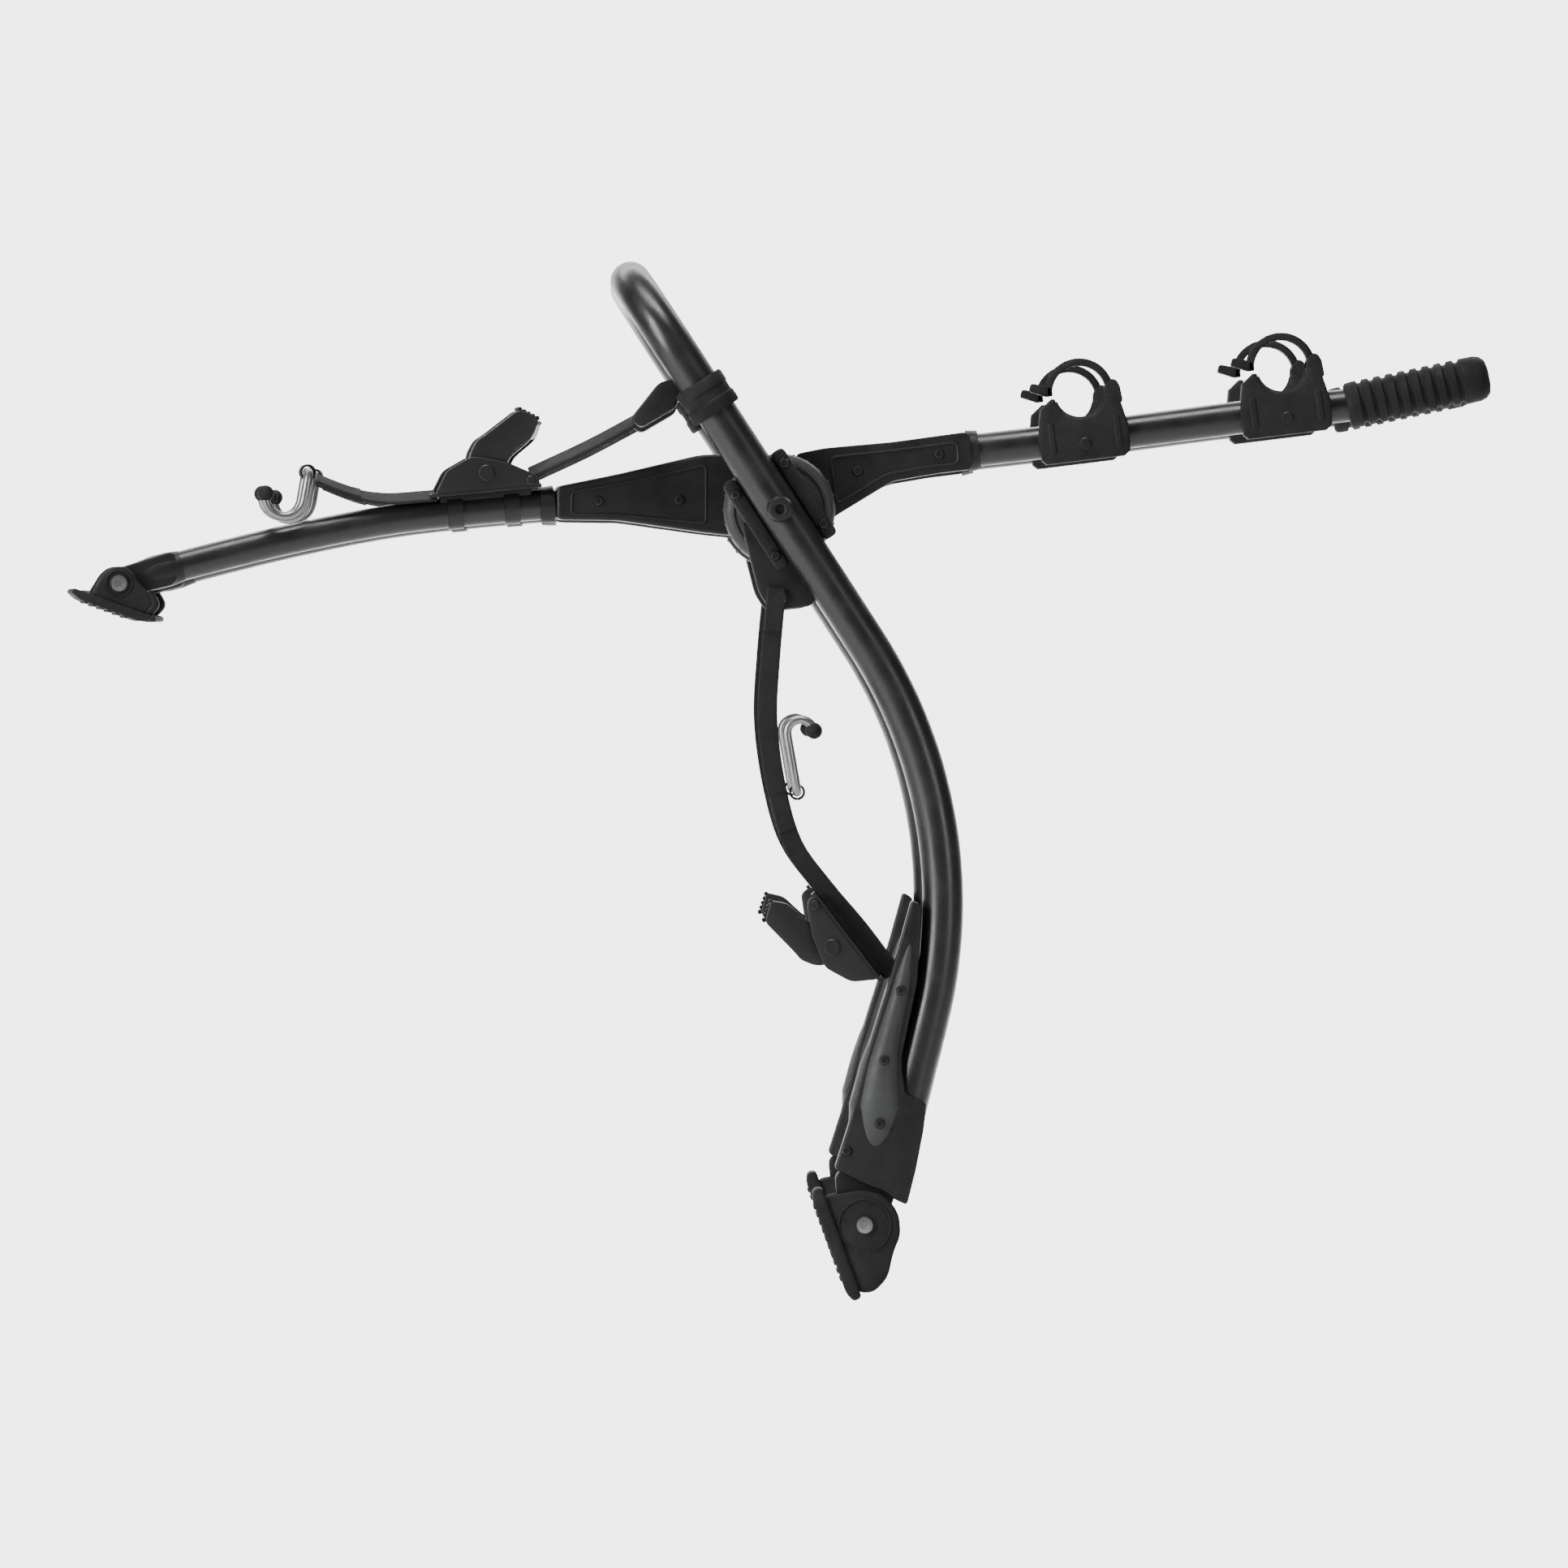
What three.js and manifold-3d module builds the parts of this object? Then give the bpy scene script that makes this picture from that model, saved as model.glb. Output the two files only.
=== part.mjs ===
// Strap-on trunk bike rack that carries two bicycles crosswise.
// Millimetres. +X points rearwards from the car, +Y across the car towards its right, +Z up.
// The origin lies on the hub axis, midway between the two hubs.
import * as THREE from "three";
import { mergeVertices } from "three/addons/utils/BufferGeometryUtils.js";
import Module from "manifold-3d";

const wasm = await Module();
wasm.setup();

// ---------- driving dimensions ----------

const GAP = 0.4; // clearance between pieces that touch or slide
const TUBE_SIDES = 10;
const TUBE_STEPS = 7; // stations along a leg's or an arm's tube
const TIP_RIBS = 3;

// Main hoop: an inverted U whose legs bulge rearwards
const HOOP_Y = 190; // from the middle to each leg of the hoop
const HOOP_R = 13.5;
const HOOP_TILT = THREE.MathUtils.degToRad(57); // upper straight, from the horizontal
const HOOP_RISE = 181; // hub axis to the top crossbar, along the upper straight
const HOOP_DROP = 104; // hub axis to the start of the big bend
const HOOP_BEND_R = 318;
const HOOP_BEND = THREE.MathUtils.degToRad(47);
const HOOP_TAIL = 88; // straight below the bend, hidden in the shank at its end
const HOOP_CORNER_R = 62;

// Hubs, from the outside in: casing, arm ring, leg ring, collar
const HUB_R = 37;
const CASING_Y = [150, 174];
const ARM_RING_Y = [118, 148];
const LEG_RING_Y = [91, 116];
const COLLAR_Y = [80, 89];
const AXLE_R = 11;
const AXLE_BORE_R = 8;
const AXLE_END = 148;
const LEG_RING_R = 23;
const HUB_BOLT_R = 5;
const HUB_BOLT_HEAD_R = 9;
const SADDLE_Y = [174.4, 189];
const SADDLE_HALF = [34, 24]; // half its length along the hoop and half its width
const EAR_Y = [175, 188]; // the saddle's ear, where the lower strap is pinned
const EAR_OUTLINE = [[-26, -8], [-4, -16], [25, -54], [22, -64], [-6, -67], [-14, -55]];

// Folding legs that rest on the trunk lid
const LEG_R = 10;
const LEG_Y = (LEG_RING_Y[0] + LEG_RING_Y[1]) / 2;
const LEG_SPLAY = THREE.MathUtils.degToRad(6);
const LEG_LINE = [[-70, 6], [-140, 4.5], [-200, 0], [-265, -7.5], [-340, -22.5], [-425, -44]];
const LEG_SOCKET_HALF = 12.5; // half the socket's width across the leg
const UPPER_FOOT = { x: -442, z: -49, turn: 20, reach: 19, heel: 27, toe: 27, width: 46, eye: 10, ear: 12 };

// Lower feet on the hoop's ends
const LOWER_FOOT = { x: 56, z: -473, turn: 70, reach: 27, heel: 33, toe: 44, width: 48, eye: 15, ear: 24 };
const FOOT_PIN_R = 4;
const SHANK_HALF = 16; // half the shank's width across the car
const SHANK_INNER = [[87, -258], [72, -312], [57, -362], [45, -408], [36, -436]];
const SHANK_OUTER = [
  [84, -460], [90, -436], [95, -410], [97, -392],
  [83, -386], [80, -364], [91, -312], [94, -262],
];
const FOOT_EAR_T = 10; // thickness of each ear of a foot, with the step in from the foot's side
const FOOT_EAR_STEP = 3;
const PIN_HEAD_R = 6.5;
const PIN_HEAD_T = 2.6;

// Carrying arms
const ARM_R = 11;
const ARM_Y = (ARM_RING_Y[0] + ARM_RING_Y[1]) / 2;
const ARM_LINE = [[70, 31], [112, 37.5], [160, 43], [218, 50], [307, 61.5], [385, 70.5]];
const TIP_END = [468, 88];
const CRADLES = [{ x: 203, z: 48 }, { x: 337, z: 65 }];
const CRADLE_TILT = THREE.MathUtils.degToRad(-7);
const TROUGH_R = 17;

// Arm lock: a spring plunger on the inner face of the arm's ring
const PLUNGER_R = 2.8;
const PLUNGER_KNOB_R = 5.5;
const PLUNGER_AT = { r: 30.5, angle: THREE.MathUtils.degToRad(68) };

// Webbing and its fittings
const WEB_T = 2.4;
const WEB_W = 25;
const BUCKLE_W = 36;
const WIRE_R = 3;
const BALL_R = 5.5;
const BUCKLE_PIVOT = [2, 13];
const BUCKLE_SHEET = 2.6;
const UPPER_BUCKLE = { x: -198, z: 11.5, turn: -5.5, closed: 0 };
const LOWER_BUCKLE = { x: 46, z: -283, turn: -127.5, closed: 25 };
const UPPER_HOOK = { x: -315, z: 25, turn: -80, spread: 26, shank: 19, curl: -13 };
const LOWER_HOOK = { x: 11.5, z: -187, turn: 80, spread: 22, shank: 38, curl: -9 };
const UPPER_STRAP_LINE = [[-237, 9], [-262, 7.5], [-285, 11], [-309, 20]];
const LOWER_STRAP_LINE = [
  [-2, -52], [-6, -96], [-8, -140], [-2, -185],
  [9, -222], [29, -250], [51, -276], [67, -297],
];
const LOWER_STRAP_W = 13;
const TAIL_LINE = [[-158, 28], [-127, 42.5], [-98.6, 57.6]];
const TAIL_Y = 130.5;
const TAIL_TWIST = 0.36; // rise of the strap's inner edge for each millimetre across
const ANCHOR = { x: -72, z: 70, along: -88 };

// ---------- materials ----------

const finish = (color, roughness, metalness = 0) =>
  new THREE.MeshStandardMaterial({ color, roughness, metalness });
const powderCoat = () => finish(0x17181a, 0.42, 0.2);
const hubPlastic = () => finish(0x3d3e3f, 0.62);
const blackPlastic = () => finish(0x1b1b1b, 0.58);
const rubber = () => finish(0x121212, 0.85);
const webbing = () => finish(0x161616, 0.9);
const steel = () => finish(0xb9bbbd, 0.28, 0.95);
const darkSteel = () => finish(0x2c2d2f, 0.4, 0.8);

// ---------- solid helpers ----------

function solidOf(geometry) {
  const bare = geometry.index ? geometry.toNonIndexed() : geometry.clone();
  bare.deleteAttribute("normal");
  bare.deleteAttribute("uv");
  const merged = mergeVertices(bare, 1e-3);
  return new wasm.Manifold(
    new wasm.Mesh({
      numProp: 3,
      vertProperties: merged.attributes.position.array,
      triVerts: new Uint32Array(merged.index.array),
    }),
  );
}

function geometryOf(solid) {
  const mesh = solid.getMesh();
  const geometry = new THREE.BufferGeometry();
  geometry.setAttribute("position", new THREE.BufferAttribute(mesh.vertProperties, 3));
  geometry.setIndex(new THREE.BufferAttribute(mesh.triVerts, 1));
  return geometry;
}

const joined = (first, ...others) =>
  geometryOf(others.reduce((sum, g) => sum.add(solidOf(g)), solidOf(first)));
const cut = (body, ...tools) =>
  geometryOf(tools.reduce((rest, g) => rest.subtract(solidOf(g)), solidOf(body)));

// ---------- shape helpers: outlines lie in the X-Z plane, seen from -Y ----------

// A closed outline with its corners rounded.
function outline(points, radius = 0) {
  const shape = new THREE.Shape();
  const corners = points.map(([x, z]) => new THREE.Vector2(x, z));
  corners.forEach((corner, i) => {
    const before = corners[(i + corners.length - 1) % corners.length];
    const after = corners[(i + 1) % corners.length];
    const reach = Math.min(radius, corner.distanceTo(before) / 2.1, corner.distanceTo(after) / 2.1);
    const enter = corner.clone().lerp(before, reach / corner.distanceTo(before));
    const leave = corner.clone().lerp(after, reach / corner.distanceTo(after));
    if (i === 0) shape.moveTo(enter.x, enter.y);
    else shape.lineTo(enter.x, enter.y);
    if (reach > 0) shape.quadraticCurveTo(corner.x, corner.y, leave.x, leave.y);
  });
  shape.closePath();
  return shape;
}

const circle = (r, x = 0, z = 0) => new THREE.Shape().absarc(x, z, r, 0, 2 * Math.PI, false);

// An outline made solid between two stations on Y.
function plate(shape, y0, y1, curveSegments = 2) {
  const depth = Math.abs(y1 - y0);
  const geometry = new THREE.ExtrudeGeometry(shape, { depth, bevelEnabled: false, curveSegments });
  return geometry.rotateX(Math.PI / 2).translate(0, Math.max(y0, y1), 0);
}

// A round bar along Y.
function bar(r, y0, y1, x = 0, z = 0, sides = 12) {
  return new THREE.CylinderGeometry(r, r, Math.abs(y1 - y0), sides).translate(x, (y0 + y1) / 2, z);
}

// A path through fixed points, so that a swept section has exactly one station at each.
class Route extends THREE.Curve {
  constructor(points) {
    super();
    this.stations = points;
  }
  getPoint(t, target = new THREE.Vector3()) {
    const last = this.stations.length - 1;
    return target.copy(this.stations[Math.round(t * last)]);
  }
  getPointAt(u, target) {
    return this.getPoint(u, target);
  }
  getTangentAt(u, target = new THREE.Vector3()) {
    const last = this.stations.length - 1;
    const i = Math.round(u * last);
    const ahead = this.stations[Math.min(i + 1, last)];
    const behind = this.stations[Math.max(i - 1, 0)];
    const here = this.stations[i];
    const out = ahead === here ? new THREE.Vector3() : ahead.clone().sub(here).normalize();
    const back = behind === here ? new THREE.Vector3() : here.clone().sub(behind).normalize();
    return target.copy(out.add(back)).normalize();
  }
}

function sweep(points, radius, sides = TUBE_SIDES) {
  return new THREE.ExtrudeGeometry(circle(radius), {
    steps: points.length - 1,
    curveSegments: sides / 2,
    extrudePath: new Route(points),
  });
}

// A smooth centreline in the X-Z plane through a few points.
function smooth(line, steps, y = 0) {
  const curve = new THREE.SplineCurve(line.map(([x, z]) => new THREE.Vector2(x, z)));
  return curve.getSpacedPoints(steps).map((p) => new THREE.Vector3(p.x, y, p.y));
}

// The outline of a band of even thickness along a centreline in the X-Z plane.
function band(line, thickness, steps) {
  const centre = smooth(line, steps);
  const route = new Route(centre);
  const edge = (sign) =>
    centre.map((p, i) => {
      const t = route.getTangentAt(i / steps);
      return new THREE.Vector2(p.x - (sign * t.z * thickness) / 2, p.z + (sign * t.x * thickness) / 2);
    });
  return new THREE.Shape([...edge(-1), ...edge(1).reverse()]);
}

const rack = new THREE.Group();

function add(parent, name, geometry, material) {
  const mesh = new THREE.Mesh(geometry, material);
  mesh.name = name;
  parent.add(mesh);
  return mesh;
}

// Each side's name and its sign on Y.
const SIDES = [["left", -1], ["right", 1]];
const span = ([y0, y1], s) => [s * y0, s * y1];

// ---------- main hoop ----------

const along = new THREE.Vector3(Math.cos(HOOP_TILT), 0, -Math.sin(HOOP_TILT)); // down the upper straight

// Stations of one leg of the hoop, from the top corner down to its end.
function hoopLeg(y) {
  const points = [];
  const cornerTurns = 5;
  for (let i = 0; i <= cornerTurns; i++) {
    const a = ((i / cornerTurns) * Math.PI) / 2;
    const down = -HOOP_RISE + HOOP_CORNER_R * (1 - Math.cos(a));
    const across = Math.abs(y) - HOOP_CORNER_R * (1 - Math.sin(a));
    points.push(along.clone().multiplyScalar(down).setY(Math.sign(y) * across));
  }
  const bendStart = along.clone().multiplyScalar(HOOP_DROP);
  const inward = new THREE.Vector3(-Math.sin(HOOP_TILT), 0, -Math.cos(HOOP_TILT));
  const centre = bendStart.clone().addScaledVector(inward, HOOP_BEND_R);
  const bendTurns = 7;
  for (let i = 0; i <= bendTurns; i++) {
    const a = (i / bendTurns) * HOOP_BEND;
    const p = centre.clone();
    p.addScaledVector(inward, -HOOP_BEND_R * Math.cos(a));
    p.addScaledVector(along, HOOP_BEND_R * Math.sin(a));
    points.push(p.setY(y));
  }
  const tail = along.clone().multiplyScalar(Math.cos(HOOP_BEND));
  tail.addScaledVector(inward, Math.sin(HOOP_BEND));
  points.push(points.at(-1).clone().addScaledVector(tail, HOOP_TAIL).setY(y));
  return points;
}

const hoopRoute = [...hoopLeg(-HOOP_Y).reverse(), ...hoopLeg(HOOP_Y)];
const hoopOf = (extra) => sweep(hoopRoute, HOOP_R + extra, TUBE_SIDES);

const boltHoles = SIDES.map(([, s]) => bar(HUB_BOLT_R + GAP, s * 165, s * 215, 0, 0, 8));
add(rack, "main_hoop", cut(hoopOf(0), ...boltHoles), powderCoat());

// ---------- hubs ----------

function axleTube() {
  const wall = circle(AXLE_R);
  wall.holes.push(new THREE.Path().absarc(0, 0, AXLE_BORE_R, 0, 2 * Math.PI, true));
  return plate(wall, -AXLE_END, AXLE_END, 8);
}
add(rack, "axle_tube", axleTube(), darkSteel());

function hubCasing(s) {
  const [y0, y1] = CASING_Y;
  const profile = [[HUB_BOLT_R + GAP, y0], [HUB_R, y0], [HUB_R, y1 - 5], [HUB_R - 4, y1]];
  const inner = [[HUB_BOLT_R + GAP, y1]];
  const points = [...profile, ...inner, profile[0]].map(([r, y]) => new THREE.Vector2(r, y));
  const shell = new THREE.LatheGeometry(points, 20);
  return s > 0 ? shell : shell.rotateX(Math.PI);
}

// The saddle that the hoop lies in, with the ear that the lower strap is pinned to.
function hubSaddle(s) {
  const [l, w] = SADDLE_HALF;
  const side = new THREE.Vector3(Math.sin(HOOP_TILT), 0, Math.cos(HOOP_TILT));
  const at = (down, across) => [along.x * down + side.x * across, along.z * down + side.z * across];
  const block = plate(outline([at(-l, -w), at(-l, w), at(l, w), at(l, -w)], 9), ...span(SADDLE_Y, s));
  const ear = plate(outline(EAR_OUTLINE, 5), ...span(EAR_Y, s));
  return cut(joined(block, ear), hoopOf(GAP), bar(HUB_BOLT_R + GAP, s * 170, s * 220, 0, 0, 8));
}

function hubBolt(s) {
  const shank = bar(HUB_BOLT_R, s * 151, s * (HOOP_Y + HOOP_R + 2), 0, 0, 8);
  const head = bar(HUB_BOLT_HEAD_R, s * (HOOP_Y + HOOP_R + 0.6), s * (HOOP_Y + HOOP_R + 5), 0, 0, 16);
  return joined(shank, head);
}

for (const [name, s] of SIDES) {
  add(rack, "hub_casing_" + name, hubCasing(s), hubPlastic());
  add(rack, "hub_saddle_" + name, hubSaddle(s), hubPlastic());
  add(rack, "hub_bolt_" + name, hubBolt(s), darkSteel());
  const collar = circle(LEG_RING_R);
  collar.holes.push(new THREE.Path().absarc(0, 0, AXLE_R + GAP, 0, 2 * Math.PI, true));
  add(rack, "axle_collar_" + name, plate(collar, ...span(COLLAR_Y, s), 8), darkSteel());
}

// ---------- feet ----------

// Half the thickness of the tongue between a foot's ears.
const tongueHalf = (foot) => foot.width / 2 - FOOT_EAR_STEP - FOOT_EAR_T;

// A rubber foot in its own frame: the pin at the origin, the sole facing -Z.
function footGeometry(foot) {
  const { reach, heel, toe, width, eye, ear } = foot;
  const top = -eye - 3;
  const back = [[-heel, top], [-heel - 1, -reach + 5], [-heel + 8, -reach]];
  const front = [[toe - 8, -reach], [toe + 1, -reach + 6], [toe - 3, top]];
  const body = plate(outline([...back, ...front], 4), -width / 2, width / 2);
  const rise = [[-ear - 3, top - 2], [-ear * 0.95, ear * 0.25], [-ear * 0.6, ear * 0.78], [0, ear]];
  const fall = [[ear * 0.6, ear * 0.84], [ear * 0.95, ear * 0.5], [toe - 6, ear * 0.1]];
  const earShape = outline([...rise, ...fall, [toe, top + 8], [toe - 4, top - 2]], 6);
  const inside = tongueHalf(foot) + GAP;
  const outside = width / 2 - FOOT_EAR_STEP;
  const ears = [-1, 1].map((k) => plate(earShape, k * inside, k * outside));
  return cut(joined(body, ...ears), bar(FOOT_PIN_R + GAP, -width, width, 0, 0, 8));
}

function placeFoot(parent, name, foot, y) {
  const mesh = add(parent, name, footGeometry(foot), rubber());
  mesh.position.set(foot.x, y, foot.z);
  mesh.rotation.y = THREE.MathUtils.degToRad(foot.turn);
  return mesh;
}

function footPin(foot) {
  const half = foot.width / 2;
  const shank = bar(FOOT_PIN_R, -half + 1.5, half - 1.5, 0, 0, 8);
  const heads = [-1, 1].map((k) => bar(PIN_HEAD_R, k * (half - PIN_HEAD_T), k * half, 0, 0, 8));
  return joined(shank, ...heads);
}

// The moulded shank that covers the car side of the hoop's lower end.
// Its end is hollowed round the foot, and its tongue carries the foot's pin.
function lowerShank(s) {
  const y = s * HOOP_Y;
  const { x, z, eye, ear } = LOWER_FOOT;
  const cover = plate(outline([...SHANK_INNER, ...SHANK_OUTER], 3), y - SHANK_HALF, y + SHANK_HALF);
  const hollow = plate(circle(ear + 1.2, x, z), y - 30, y + 30, 10);
  const root = z + ear + 12;
  const lobe = [[x + eye - 1, z], [x, z - eye + 0.5], [x - eye + 1, z]];
  const neck = outline([[x - 20, root], [x + 25, root], ...lobe, [x - 18, z + 16]], 8);
  const tongue = plate(neck, y - tongueHalf(LOWER_FOOT), y + tongueHalf(LOWER_FOOT));
  const pinHole = bar(FOOT_PIN_R + GAP, y - 40, y + 40, x, z, 8);
  return cut(joined(cut(cover, hollow), tongue), hoopOf(GAP), pinHole);
}

for (const [name, s] of SIDES) {
  add(rack, "lower_shank_" + name, lowerShank(s), blackPlastic());
  placeFoot(rack, "lower_foot_" + name, LOWER_FOOT, s * HOOP_Y);
  const pin = add(rack, "lower_foot_pin_" + name, footPin(LOWER_FOOT), steel());
  pin.position.set(LOWER_FOOT.x, s * HOOP_Y, LOWER_FOOT.z);
}

// ---------- ratchet buckles and hooks, each in its own frame ----------

// The frame lies on the strap along X, with a cheek on each side of the handle.
function buckleFrame() {
  const half = BUCKLE_W / 2;
  const base = plate(outline([[-36, 0], [38, 0], [38, BUCKLE_SHEET], [-36, BUCKLE_SHEET]]), -half, half);
  const cheekShape = outline([[-34, 1], [36, 1], [36, 8], [16, 19], [-6, 25], [-24, 17]], 4);
  const cheeks = [-1, 1].map((k) => plate(cheekShape, k * (half - BUCKLE_SHEET), k * half));
  const spool = bar(4, -half + 1, half - 1, ...BUCKLE_PIVOT, 8);
  const tie = bar(2.6, -half + 1, half - 1, 31, 5.2, 8);
  return joined(base, ...cheeks, spool, tie);
}

// The lever between the cheeks: two side plates and a grip, turned on the spool by `closed` degrees.
function buckleHandle(closed) {
  const half = BUCKLE_W / 2 - BUCKLE_SHEET - GAP;
  const lower = [[12, 9], [3, 6], [-5, 7], [-9, 14], [-8, 26], [-2, 35]];
  const upper = [[12, 41], [28, 53], [41, 46], [36, 35], [20, 24]];
  const sideShape = outline([...lower, ...upper], 4);
  const sidePlates = [-1, 1].map((k) => plate(sideShape, k * (half - 4), k * half));
  const gripShape = outline([[21, 37], [19, 44], [28, 52.5], [40.4, 45.8], [35.6, 35.6], [30, 33.5]], 3);
  const grip = plate(gripShape, -half + 1, half - 1);
  const [x, z] = BUCKLE_PIVOT;
  const bore = bar(4 + GAP, -half - 1, half + 1, x, z, 8);
  const lever = cut(joined(grip, ...sidePlates), bore);
  return lever.translate(-x, 0, -z).rotateY(THREE.MathUtils.degToRad(closed)).translate(x, 0, z);
}

// A bent wire hook with two prongs and a ball on each tip. The strap loops round its crossbar.
function wireHook({ spread, shank, curl }) {
  const points = [];
  const turns = 5;
  for (const k of [-1, 1]) {
    const prong = [];
    for (let i = 0; i <= turns; i++) {
      const a = (i / turns) * Math.PI;
      const x = -shank - Math.abs(curl) * Math.sin(a);
      prong.push(new THREE.Vector3(x, (k * spread) / 2, curl * (Math.cos(a) - 1)));
    }
    const side = (k * spread) / 2;
    const root = [new THREE.Vector3(-4, side, 0), new THREE.Vector3(0, side - k * 4, 0)];
    points.push(...(k < 0 ? [...prong.reverse(), ...root] : [...root.reverse(), ...prong]));
  }
  const tips = [points[0], points.at(-1)];
  const balls = tips.map((p) => new THREE.SphereGeometry(BALL_R, 8, 5).translate(p.x, p.y, p.z));
  return joined(sweep(points, WIRE_R, 6), ...balls);
}

// ---------- lower straps: webbing from the hub saddle's ear to the shank ----------

function lowerStrap(s) {
  const hanging = band(LOWER_STRAP_LINE, LOWER_STRAP_W, 14);
  const y = s * HOOP_Y;
  return plate(hanging, y - WEB_T / 2, y + WEB_T / 2);
}

for (const [name, s] of SIDES) {
  add(rack, "lower_strap_" + name, lowerStrap(s), webbing());
  const seat = new THREE.Group();
  seat.position.set(LOWER_BUCKLE.x, s * HOOP_Y, LOWER_BUCKLE.z);
  seat.rotation.y = THREE.MathUtils.degToRad(LOWER_BUCKLE.turn);
  rack.add(seat);
  add(seat, "lower_buckle_" + name, buckleFrame(), darkSteel());
  add(seat, "lower_ratchet_handle_" + name, buckleHandle(LOWER_BUCKLE.closed), darkSteel());
  const hook = add(rack, "lower_hook_" + name, wireHook(LOWER_HOOK), steel());
  hook.position.set(LOWER_HOOK.x, s * HOOP_Y, LOWER_HOOK.z);
  hook.rotation.y = THREE.MathUtils.degToRad(LOWER_HOOK.turn);
}

// ---------- legs ----------

// A moulded socket: a round eye on the hub axis and a wedge that grips a tube.
function legSocket(s) {
  const [y0, y1] = span(LEG_RING_Y, s);
  const ring = plate(circle(LEG_RING_R), y0, y1, 8);
  const above = [[-2, 22], [-26, 39], [-52, 37], [-108, 24], [-150, 15.5]];
  const below = [[-150, -6.5], [-108, -7], [-51, -15], [-4, -21]];
  const wedge = plate(outline([...above, ...below], 5), -LEG_SOCKET_HALF, LEG_SOCKET_HALF);
  wedge.rotateZ(-s * LEG_SPLAY).translate(0, s * LEG_Y, 0);
  const clear = plate(circle(HUB_R + 3), s * (LEG_RING_Y[1] + 0.01), s * 170, 8);
  const body = cut(joined(ring, wedge), clear);
  const tube = sweep(smooth(LEG_LINE, TUBE_STEPS), LEG_R + GAP, TUBE_SIDES);
  tube.rotateZ(-s * LEG_SPLAY).translate(0, s * LEG_Y, 0);
  return cut(body, tube, bar(AXLE_R + GAP, 0, s * 200));
}

for (const [name, s] of SIDES) {
  const leg = new THREE.Group();
  leg.position.y = s * LEG_Y;
  leg.rotation.z = -s * LEG_SPLAY;
  rack.add(leg);
  add(rack, "leg_socket_" + name, legSocket(s), blackPlastic());
  const { x, z, eye } = UPPER_FOOT;
  const lobe = [[x - 3, z + eye - 1], [x - eye, z], [x, z - eye]];
  const tongueShape = outline([[x + 26, z + 18], ...lobe, [x + 28, z - 4]], 6);
  const tongue = plate(tongueShape, -tongueHalf(UPPER_FOOT), tongueHalf(UPPER_FOOT));
  const solidTube = joined(sweep(smooth(LEG_LINE, TUBE_STEPS), LEG_R), tongue);
  const tube = cut(solidTube, bar(FOOT_PIN_R + GAP, -30, 30, x, z, 8));
  add(leg, "leg_tube_" + name, tube, powderCoat());
  placeFoot(leg, "upper_foot_" + name, UPPER_FOOT, 0);
  add(leg, "upper_foot_pin_" + name, footPin(UPPER_FOOT), steel()).position.set(x, 0, z);
  const seat = new THREE.Group();
  seat.position.set(UPPER_BUCKLE.x, 0, UPPER_BUCKLE.z);
  seat.rotation.y = THREE.MathUtils.degToRad(UPPER_BUCKLE.turn);
  leg.add(seat);
  add(seat, "upper_buckle_" + name, buckleFrame(), darkSteel());
  add(seat, "upper_ratchet_handle_" + name, buckleHandle(UPPER_BUCKLE.closed), darkSteel());
  const strap = plate(band(UPPER_STRAP_LINE, WEB_T, 10), -WEB_W / 2, WEB_W / 2);
  add(leg, "upper_strap_" + name, strap, webbing());
  const hook = add(leg, "upper_hook_" + name, wireHook(UPPER_HOOK), steel());
  hook.position.set(UPPER_HOOK.x, 0, UPPER_HOOK.z);
  hook.rotation.y = THREE.MathUtils.degToRad(UPPER_HOOK.turn);
}

// The band round the hoop that carries the upper strap, with a lug reaching in over the leg.
function strapAnchor(s) {
  const middle = along.clone().multiplyScalar(ANCHOR.along);
  const clip = new THREE.CylinderGeometry(HOOP_R + 4, HOOP_R + 4, 24, 14);
  clip.rotateZ(Math.PI / 2).rotateY(HOOP_TILT).translate(middle.x, s * HOOP_Y, middle.z);
  const { x, z } = ANCHOR;
  const lugTip = [[x - 8, z + 14], [x - 27, z - 10], [x - 20, z - 16]];
  const lugShape = outline([[x + 12, z + 22], ...lugTip, [x + 4, z - 2]], 4);
  const lug = plate(lugShape, s * 124, s * 182);
  return cut(joined(clip, lug), hoopOf(GAP));
}

for (const [name, s] of SIDES) {
  add(rack, "strap_anchor_" + name, strapAnchor(s), rubber());
  const tail = plate(band(TAIL_LINE, WEB_T, 6), -WEB_W / 2, WEB_W / 2);
  const twist = new THREE.Matrix4().set(1, 0, 0, 0, 0, 1, 0, 0, 0, -s * TAIL_TWIST, 1, 0, 0, 0, 0, 1);
  tail.applyMatrix4(twist).translate(0, s * TAIL_Y, 0);
  add(rack, "upper_strap_tail_" + name, tail, webbing());
}

// ---------- arms ----------

// The ribbed end stop that keeps the last bicycle on the arm.
function armTip(s) {
  const [x0, z0] = ARM_LINE.at(-1);
  const [x1, z1] = TIP_END;
  const length = Math.hypot(x1 - x0, z1 - z0) + 12;
  const profile = [[0, -6], [15, -6], [15.5, 6]];
  for (let i = 0; i < TIP_RIBS; i++) {
    const start = 14 + i * 19;
    profile.push([12.5, start], [12.5, start + 5], [15.5, start + 7], [15.5, start + 15]);
  }
  profile.push([14, length - 6], [9, length], [0, length]);
  const body = new THREE.LatheGeometry(profile.map(([r, l]) => new THREE.Vector2(r, l)), 10);
  body.rotateZ(-Math.PI / 2).rotateY(-Math.atan2(z1 - z0, x1 - x0));
  body.translate(x0 - 8, s * ARM_Y, z0 - 1.5);
  return cut(body, sweep(smooth(ARM_LINE, TUBE_STEPS, s * ARM_Y), ARM_R + GAP));
}

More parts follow.
